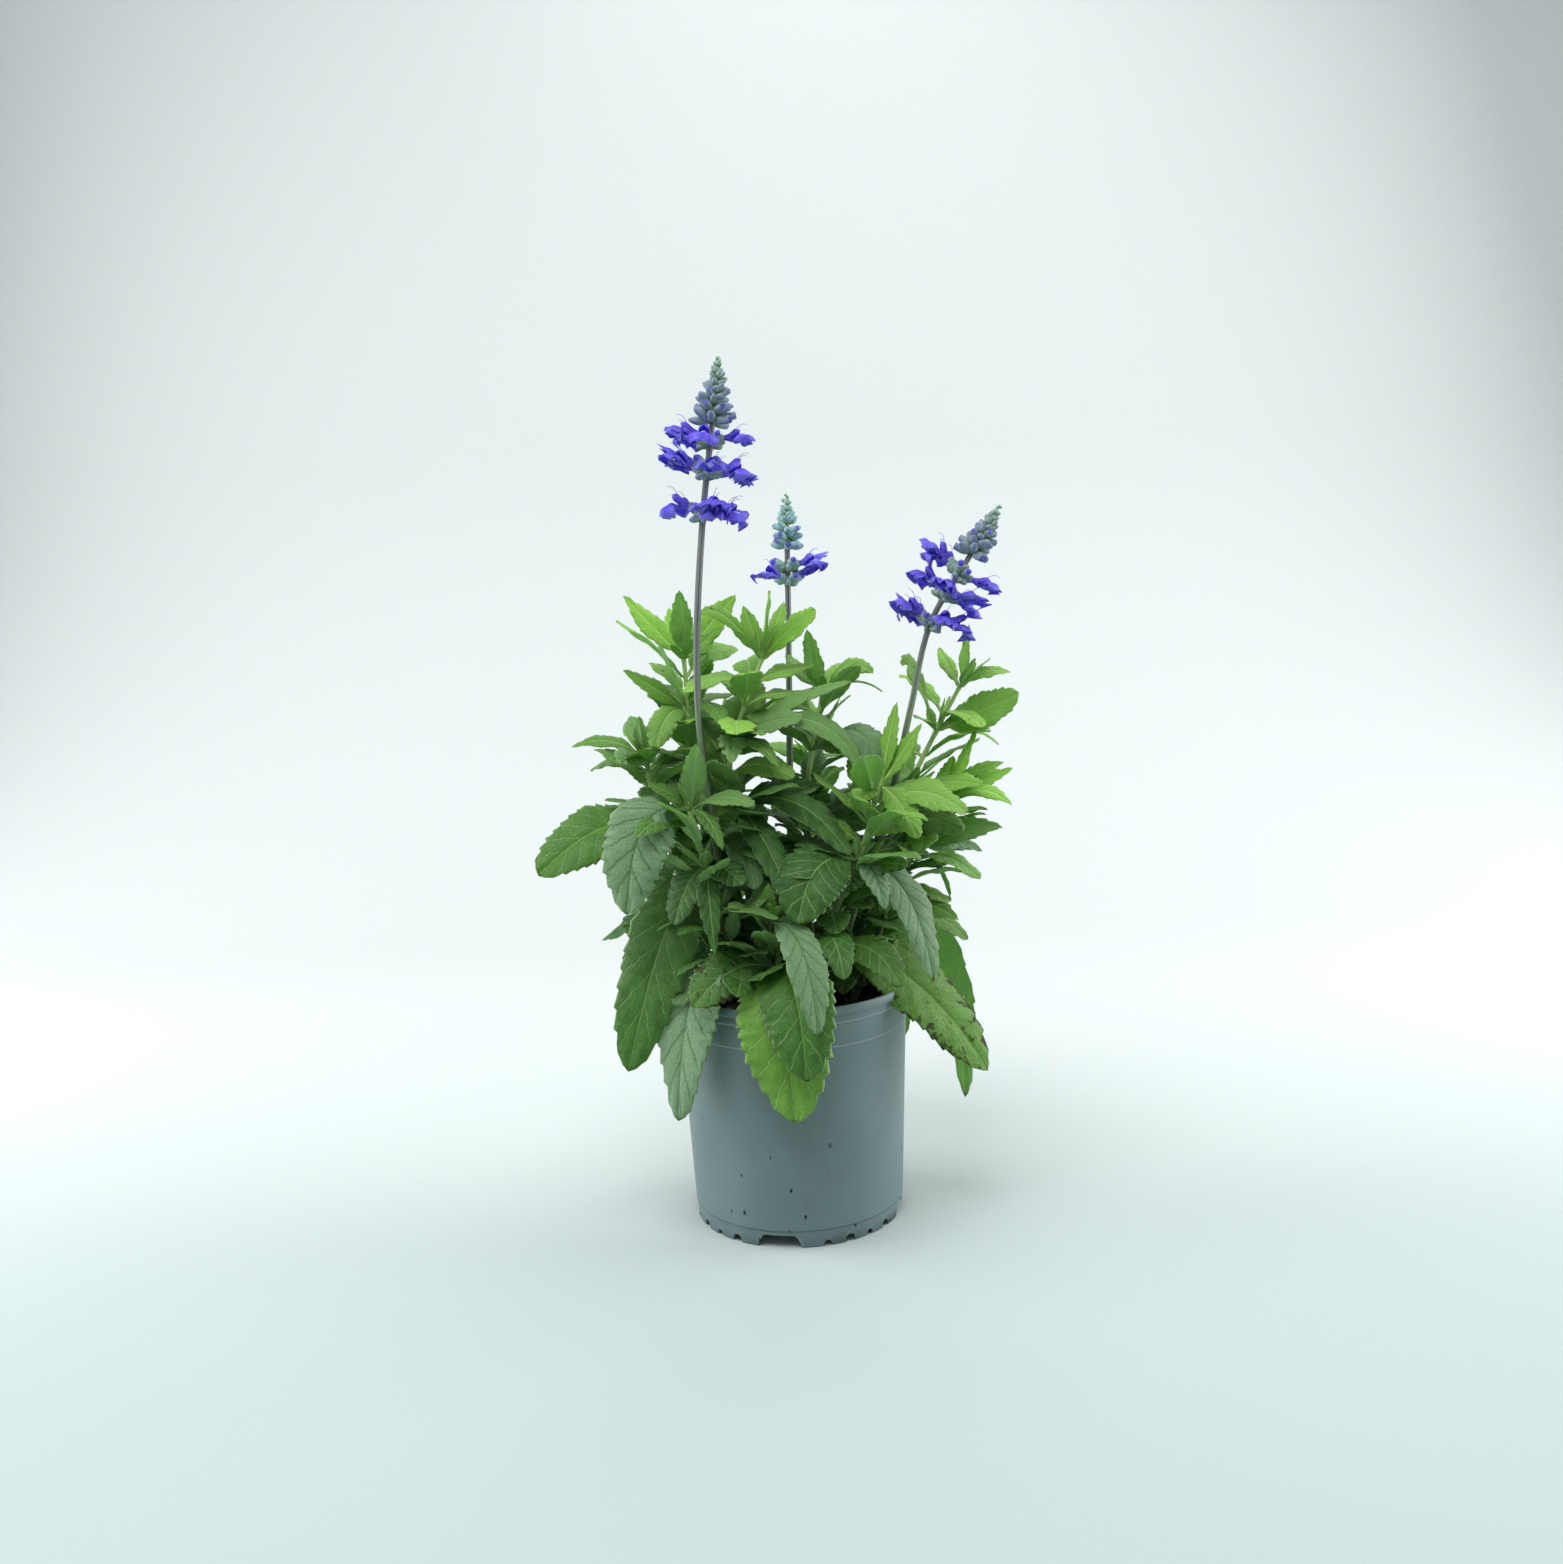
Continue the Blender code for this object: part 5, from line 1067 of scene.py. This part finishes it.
for label, whorls in FOLIAGE.items():
    for number, (height, leaves) in enumerate(zip(WHORL_HEIGHTS[label], whorls), 1):
        slot = "leaf_young" if f"{label}_{number}" in YOUNG_WHORLS else "leaf_green"
        new_piece(f"{label}_leaf_pairs_{number}", leaf_whorl(label, number, leaves, height),
                  leaf_finish, slot, f"leaves_{label}_{number}")

# ---------------------------------------------------------------- flowers
# Two-lipped blue flowers in rings round each stalk, each from a felted, ribbed cup. A short hood
# stands over a broad ruffled lip with a white mark. Above them the buds close up into a cone.
# From the soil up: the ring's height, and the directions of its open flowers and of its closed cups.
FLOWERS = {
    "left": [
        (241, [182, 150, -8, 24, -60], [100, -120, 60]),
        (261, [176, 204, 2, -25, -88, 70], [130, -140, 35]),
        (274, [192, -12], [60, 110, 150, -60, -110]),
    ],
    "middle": [
        (208, [-130], [0, 60, 120, 180, -60]),
        (215, [20], [80, 150, 210, -70]),
    ],
    "right": [
        (186, [165, 200, -20, -70], [40, 100, -120]),
        (199, [150, 185, 5, -45], [60, 100, -90]),
        (209, [175, -10], [60, 110, -60, -120]),
    ],
}
# A cone's length, its width at the foot and its number of tiers
CONES = {"left": (0.032, 0.0102, 10), "middle": (0.028, 0.0088, 8), "right": (0.028, 0.0090, 9)}
FLOWER_RISE = 30.0
EXTRA_CUPS = 13
EXTRA_OPEN = {"left": 3, "middle": 1, "right": 3}
CUP_LENGTH, CUP_RADIUS = 0.0068, 0.0019
CUP_RIBS = 9
CORE_RADII = (0.0012, 0.0009, 0.0004)
CUP_PROFILE = ((0.0, 0.20), (0.10, 0.62), (0.30, 0.96), (0.55, 1.04), (0.80, 0.92), (0.97, 0.86),
               (1.0, 0.74), (0.92, 0.60), (0.70, 0.45))
BUD_PROFILE = ((0.0, 0.20), (0.12, 0.66), (0.35, 1.0), (0.60, 1.0), (0.82, 0.74), (0.94, 0.42), (1.0, 0.10))
TUBE_PROFILE = ((0.0, 0.55), (0.3, 0.72), (0.6, 0.88), (0.85, 1.10), (1.0, 1.22), (1.02, 1.05), (0.8, 0.80))
TUBE_RADIUS, TUBE_LENGTH = 0.0018, 0.0046
LIP_LENGTH, LIP_HALF = 0.0126, 0.0088
HOOD_LENGTH, HOOD_RADIUS = 0.0058, 0.0021
RUFFLE = 0.0015
PETAL_THICK = 0.00016
STYLE_RADIUS = 0.00016
BLUE_BUD = (0.0036, 0.00135)
PETAL_DEEP = (0.075, 0.042, 0.560, 1)
PETAL_BLUE = (0.190, 0.145, 0.850, 1)
PETAL_LILAC_HIGHLIGHT = (0.420, 0.410, 0.960, 1)
PETAL_WHITE = (0.760, 0.800, 0.960, 1)
PETAL_GLOW = (0.300, 0.240, 1.000, 1)
CUP_GREEN = (0.230, 0.370, 0.200, 1)
CUP_GREY = (0.210, 0.290, 0.330, 1)
CUP_TEAL = (0.260, 0.480, 0.490, 1)
CUP_VIOLET = (0.070, 0.070, 0.270, 1)
MEAL_WHITE = (0.640, 0.760, 0.720, 1)
# Which part of a flower a corner belongs to, for its colour
TUBE, LIP, HOOD, CUP = 0.0, 0.33, 0.66, 1.0


def turned_cup(gathered, spot, ahead, top, length, radius, profile, kind, ribs, tint):
    """A ribbed cup, bud or tube along a direction, closed at both ends."""
    side = np.array(ahead.cross(top).normalized())
    top = np.cross(side, np.array(ahead))
    steps = 18
    turn = np.arange(steps) * 2 * math.pi / steps
    ring = side[None] * np.cos(turn)[:, None] + top[None] * np.sin(turn)[:, None]
    ribbed = 1 + ribs * np.cos(CUP_RIBS * turn)
    places, facts = [], []
    for number, (share, wide) in enumerate(profile):
        middle = np.array(spot) + np.array(ahead) * length * share
        places.append(middle + ring * (radius * wide * ribbed)[:, None])
        depth = 1.25 if number > 6 else share
        facts.append(np.stack([np.full(steps, depth), np.cos(turn * CUP_RIBS), np.full(steps, kind)], -1))
    gathered.add(np.concatenate(places), tube_faces(len(profile), steps),
                 petal=np.concatenate(facts), tint=tint)


def petal_sheet(gathered, spot, ahead, side, top, forward, sideways, upward, kind, tint, shares, across):
    """A petal from its places ahead of, beside and above the throat."""
    grid = (np.array(spot) + forward[..., None] * np.array(ahead) + sideways[..., None] * np.array(side)
            + upward[..., None] * np.array(top))
    along = np.gradient(grid, axis=0)
    over = np.gradient(grid, axis=1)
    normal = np.cross(along, over)
    normal /= np.linalg.norm(normal, axis=-1, keepdims=True) + 1e-12
    places, faces = sheet(grid, grid - normal * PETAL_THICK)
    facts = np.stack([np.broadcast_to(shares, forward.shape), np.broadcast_to(across, forward.shape),
                      np.full(forward.shape, kind)], -1)
    gathered.add(places, faces, petal=sheet_facts(facts, facts), tint=tint)


def corolla(gathered, mouth, ahead, side, top, size, tint, draw):
    """The open flower: tube, lower lip, hood and a thin style."""
    length = TUBE_LENGTH * size
    turned_cup(gathered, mouth, ahead, top, length, TUBE_RADIUS * size, TUBE_PROFILE, TUBE, 0.0, tint)
    throat = mouth + ahead * length * 0.94
    s = np.linspace(0, 1, 12)[:, None]
    t = np.linspace(-1, 1, 17)[None]
    # Lower lip: goes out, then down, with a broad middle lobe and two smaller ones at its sides
    frill = 0.09 * np.cos(3 * math.pi * t) + 0.05 * np.sin(11 * t + draw.uniform(0, 6))
    run = s * LIP_LENGTH * size * (1.0 - 0.26 * np.abs(t) ** 2.5 + frill)
    heading = np.radians(24 - draw.uniform(40, 105) * s ** 1.1 + draw.uniform(-18, 18))
    step = np.diff(run, axis=0, prepend=0)
    forward = np.cumsum(step * np.cos(heading), axis=0)
    upward = np.cumsum(step * np.sin(heading), axis=0) - 0.0009 * size
    wide = LIP_HALF * size * (0.26 + 0.74 * smooth_step(s, 0.08, 0.62))
    wide *= 1 - 0.30 * smooth_step(s, 0.75, 1.0)
    sideways = wide * t * (1 - 0.10 * smooth_step(np.abs(t), 0.5, 1.0))
    fringe = np.sin(t * 9 + draw.uniform(0, 6)) * np.cos(s * 7 + draw.uniform(0, 6))
    ruffle = fringe * RUFFLE * size * s * (0.5 + np.abs(t))
    forward = forward + ruffle - 0.0016 * size * t * t * smooth_step(s, 0.2, 0.8)
    pouch = 0.0010 * size * (1 - t * t) * smooth_step(s, 0.1, 0.4)
    upward = upward + ruffle * 0.8 + pouch - 0.0014 * t * t * size
    petal_sheet(gathered, throat, ahead, side, top, forward, sideways, upward, LIP, tint, s, t)
    # Hood: a half tube that rises over the throat
    s = np.linspace(0, 1, 8)[:, None]
    t = np.linspace(-1, 1, 11)[None]
    heading = np.radians(16 + 22 * s + draw.uniform(-12, 12))
    step = np.full_like(s, HOOD_LENGTH * size / 7)
    step[0] = 0
    middle_x = np.cumsum(step * np.cos(heading), axis=0)
    middle_z = np.cumsum(step * np.sin(heading), axis=0)
    radius = HOOD_RADIUS * size * (1.0 + 0.25 * np.sin(math.pi * s)) * (1 - 0.75 * smooth_step(s, 0.75, 1.0))
    bend = t * math.radians(112)
    sideways = radius * np.sin(bend)
    lifted = radius * np.cos(bend)
    forward = middle_x - lifted * np.sin(heading) * 0.6
    upward = middle_z + lifted * np.cos(heading)
    petal_sheet(gathered, throat, ahead, side, top, forward, sideways, upward, HOOD, tint, s, t)
    # Style: a thread that leaves the hood and curls down at its end
    line = []
    for number in range(8):
        share = number / 7
        high = 0.0010 + 0.0050 * math.sin(share * 2.0)
        line.append(throat + (ahead * (0.0010 + 0.0072 * share) + top * high) * size)
    radii = [STYLE_RADIUS * (1 - 0.4 * number / 7) for number in range(8)]
    gathered.add(tube(line, radii, 6), tube_faces(8, 6), petal=(0.2, 0, HOOD), tint=tint)


def flower_ring(label, number, height, opened, closed):
    stem = stalks[label]
    spot, along, radius = stem.at(height)
    gathered = Gather("petal", "tint")
    draw = random.Random(1000 + list(FLOWERS).index(label) * 50 + number)
    stock = [(turn, True) for turn in opened] + [(turn, False) for turn in closed]
    stock += [(draw.uniform(0, 360), True) for _ in range(EXTRA_OPEN[label])]
    stock += [(draw.uniform(0, 360), None) for _ in range(EXTRA_CUPS)]
    for turn, kind in stock:
        turn += draw.uniform(-6, 6)
        across = round_axis(1, math.radians(turn))
        across = (across - along * across.dot(along)).normalized()
        rise = math.radians(FLOWER_RISE + (draw.uniform(-60, 24) if kind is None else draw.uniform(-12, 14)))
        ahead = across * math.cos(rise) + along * math.sin(rise)
        side = along.cross(across).normalized()
        top = ahead.cross(side).normalized()
        size = draw.uniform(0.90, 1.12) * (0.78 if kind is None else 1.0)
        foot = spot + across * radius * 0.7 + along * draw.uniform(-0.0016, 0.0016)
        pale = 0.85 if label == "middle" else draw.uniform(0.0, 0.5)
        tint = (pale, draw.random(), number / 3)
        profile = BUD_PROFILE if kind is None else CUP_PROFILE
        turned_cup(gathered, foot, ahead, top, CUP_LENGTH * size, CUP_RADIUS * size, profile, CUP, 0.07, tint)
        mouth = foot + ahead * CUP_LENGTH * size * 0.80
        level = (across * 0.97 + along * 0.16).normalized()
        if kind:
            upright = level.cross(side).normalized()
            corolla(gathered, mouth, level, side, upright, size, tint, draw)
        elif kind is False:
            long, wide = BLUE_BUD[0] * size, BLUE_BUD[1] * size
            turned_cup(gathered, mouth, ahead, top, long, wide, BUD_PROFILE, TUBE, 0.0, tint)
    return gathered.mesh(f"flower_ring_{label}_{number}")


def bud_cone(label):
    """Closed cups in tiers that get smaller and greener up to the tip."""
    stem = stalks[label]
    end = stem.line[-1]
    along = (stem.line[-1] - stem.line[-3]).normalized()
    side = along.orthogonal().normalized()
    other = along.cross(side)
    length, wide, tiers = CONES[label]
    gathered = Gather("petal", "tint")
    draw = random.Random(70 + list(CONES).index(label))
    core = [end - along * 0.0004, end + along * length * 0.5, end + along * length * 0.94]
    gathered.add(tube(core, CORE_RADII, 10), tube_faces(3, 10), petal=(0.2, 0, CUP), tint=(0.6, 0.5, 0))
    for tier in range(tiers):
        level = tier / (tiers - 1)
        cup = (wide * 0.84) * (1 - level) ** 0.9 + 0.0014
        count = 8 if level < 0.45 else (6 if level < 0.85 else 5)
        rise = math.radians(6 + 62 * level ** 1.2)
        foot_height = length * (0.015 + 0.86 * level ** 0.93)
        for number in range(count):
            turn = 2 * math.pi * (number + 0.5 * (tier % 2)) / count + draw.uniform(-0.12, 0.12)
            across = side * math.cos(turn) + other * math.sin(turn)
            lean = rise + math.radians(draw.uniform(-14, 14))
            ahead = across * math.cos(lean) + along * math.sin(lean)
            top = ahead.cross(along.cross(across)).normalized()
            size = cup * draw.uniform(0.86, 1.08)
            foot = end + along * (foot_height + draw.uniform(-0.0008, 0.0008)) + across * 0.0007
            pale = min(1.0, (0.85 if label == "middle" else 0.25) + 0.6 * level)
            tint = (pale, draw.random(), level)
            stout = 0.0014 * (1 - level) ** 0.7 + 0.00055
            profile = CUP_PROFILE if level < 0.4 and draw.random() < 0.4 else BUD_PROFILE
            turned_cup(gathered, foot, ahead, top, size, stout, profile, CUP, 0.06, tint)
            if profile is CUP_PROFILE:
                inner = foot + ahead * size * 0.78
                turned_cup(gathered, inner, ahead, top, 0.0020, 0.00115, BUD_PROFILE, TUBE, 0.0, tint)
    return gathered.mesh(f"bud_cone_{label}")


petal_finish, wire, surface = new_finish("flower_blue_finish")
spot = here(wire)
share, cross, kind = kept_facts(wire, "petal")
pale, chance, level = kept_facts(wire, "tint")
felt = grains(wire, spot, 2600.0, 4.0)
cloud = grains(wire, spot, 330.0, 3.0)
is_cup = kind.over(0.85, 0.95)
is_lip = kind.over(0.20, 0.30) * (1 - kind.over(0.38, 0.50))
rays = grains(wire, wire.node("CombineXYZ", {}, {0: cross * 4.2, 1: share * 0.7, 2: chance * 9}), 2.6, 2.0)
blue = (cloud.over(0.32, 0.72) * 0.55 + rays.over(0.40, 0.75) * 0.35).tint(PETAL_DEEP, PETAL_BLUE)
# Painted highlight: paler lilac towards the lip's side edges and the petal tips; the pale share adds each
# flower's own lighter tint
lilac_highlight = abs(cross).over(0.72, 1.0) * 0.30 * is_lip + share.over(0.80, 1.0) * 0.22 + pale * 0.10
blue = lilac_highlight.tint(blue, PETAL_LILAC_HIGHLIGHT)
mark = (1 - (abs(cross) + abs(share - 0.30) * 1.9).over(0.26, 0.50)) * is_lip
blue = (mark * 0.92).tint(blue, PETAL_WHITE)
mouth_colour = pale.over(0.7, 0.9).tint(CUP_GREY, CUP_TEAL)
cup = (share + cloud * 0.3 - level * 0.5).over(0.15, 0.80).tint(CUP_GREEN, mouth_colour)
stripes = (cross * -1.0).over(0.0, 0.9) * share.over(0.15, 0.75) * (1 - pale * 0.75)
cup = (stripes * 0.70 + share.over(0.62, 1.05) * 0.65 * (1 - level)).tint(cup, CUP_VIOLET)
cup = (felt.over(0.46, 0.66) * (0.34 + pale * 0.20)).tint(cup, MEAL_WHITE)
feed(wire, surface, {
    "Base Color": is_cup.tint(blue, cup),
    "Roughness": 0.50 + is_cup * 0.30 + felt * 0.10,
    "Normal": bumps(wire, 0.5, 0.0003, felt * is_cup + rays * 0.6),
})
let_light_through(wire, surface, PETAL_GLOW, (1 - is_cup) * 0.28)
for label, rings in FLOWERS.items():
    for number, (height, opened, closed) in enumerate(rings, 1):
        new_piece(f"{label}_flower_ring_{number}", flower_ring(label, number, height, opened, closed),
                  petal_finish, "flower_blue", f"flowers_{label}_{number}")
    new_piece(f"{label}_bud_spike", bud_cone(label), petal_finish, "bud_grey", f"bud_cone_{label}")

# ---------------------------------------------------------------- studio
# A pale paper sweep under and behind the plant, and large soft lamps to both sides, above and behind.
# The paper is painted darker at the front and lighter at the back: painted shade and light for how the lamps
# fall on it
SWEEP_FRONT_SHADED_TONE = (0.385, 0.462, 0.450, 1)
SWEEP_BACK_LIT_TONE = (0.545, 0.580, 0.574, 1)
SWEEP_BACK, SWEEP_BEND, SWEEP_HIGH, SWEEP_HALF = 0.55, 0.45, 1.8, 2.4
SWEEP_FRONT = -1.6
STUDIO_AIR = (0.900, 0.970, 1.000, 1)
STUDIO_STRENGTH = 0.50

sweep = bmesh.new()
outline = [(SWEEP_FRONT, 0.0), (SWEEP_BACK, 0.0)]
for step in range(1, 25):
    bend = math.pi / 2 * step / 24
    outline.append((SWEEP_BACK + SWEEP_BEND * math.sin(bend), SWEEP_BEND * (1 - math.cos(bend))))
outline.append((SWEEP_BACK + SWEEP_BEND, SWEEP_HIGH))
rows = []
for away, high in outline:
    rows.append([sweep.verts.new((-SWEEP_HALF, away, high)), sweep.verts.new((SWEEP_HALF, away, high))])
for low, high in zip(rows, rows[1:]):
    sweep.faces.new([low[0], low[1], high[1], high[0]])
sweep_mesh = mesh_of(sweep, "paper_sweep")
sweep_mesh.shade_smooth()
sweep_finish, wire, surface = new_finish("paper_sweep_finish", Roughness=0.85)
away = axis(wire, here(wire), 1)
# Painted shade at the front of the sweep and painted light at its back
feed(wire, surface, {"Base Color": away.over(-0.35, 0.45).tint(SWEEP_FRONT_SHADED_TONE, SWEEP_BACK_LIT_TONE)})
sweep_mesh.materials.append(sweep_finish)
paper = new_object("paper_sweep", sweep_mesh)


def soft_lamp(name, spot, aim, width, height, watts):
    light = bpy.data.lights.new(name, "AREA")
    light.shape = "RECTANGLE"
    light.size, light.size_y = width, height
    light.energy = watts
    lamp = new_object(name, light)
    lamp.location = spot
    lamp.rotation_euler = (Vector(aim) - Vector(spot)).to_track_quat("-Z", "Y").to_euler()


soft_lamp("left_lamp", (-1.05, 0.15, 0.50), (0, 0, 0.16), 0.8, 1.0, 11.0)
soft_lamp("right_lamp", (1.05, 0.20, 0.50), (0, 0, 0.16), 0.8, 1.0, 12.0)
soft_lamp("top_lamp", (-0.25, -0.55, 1.35), (0, 0, 0.20), 0.8, 0.7, 12.5)
soft_lamp("back_lamp", (0.20, 0.70, 1.25), (0, 0, 0.22), 0.9, 0.6, 5.0)
studio = bpy.data.worlds.new("studio")
studio.use_nodes = True
air = studio.node_tree.nodes["Background"]
air.inputs["Color"].default_value = STUDIO_AIR
air.inputs["Strength"].default_value = STUDIO_STRENGTH
bpy.context.scene.world = studio
bpy.context.scene.view_settings.view_transform = "Standard"
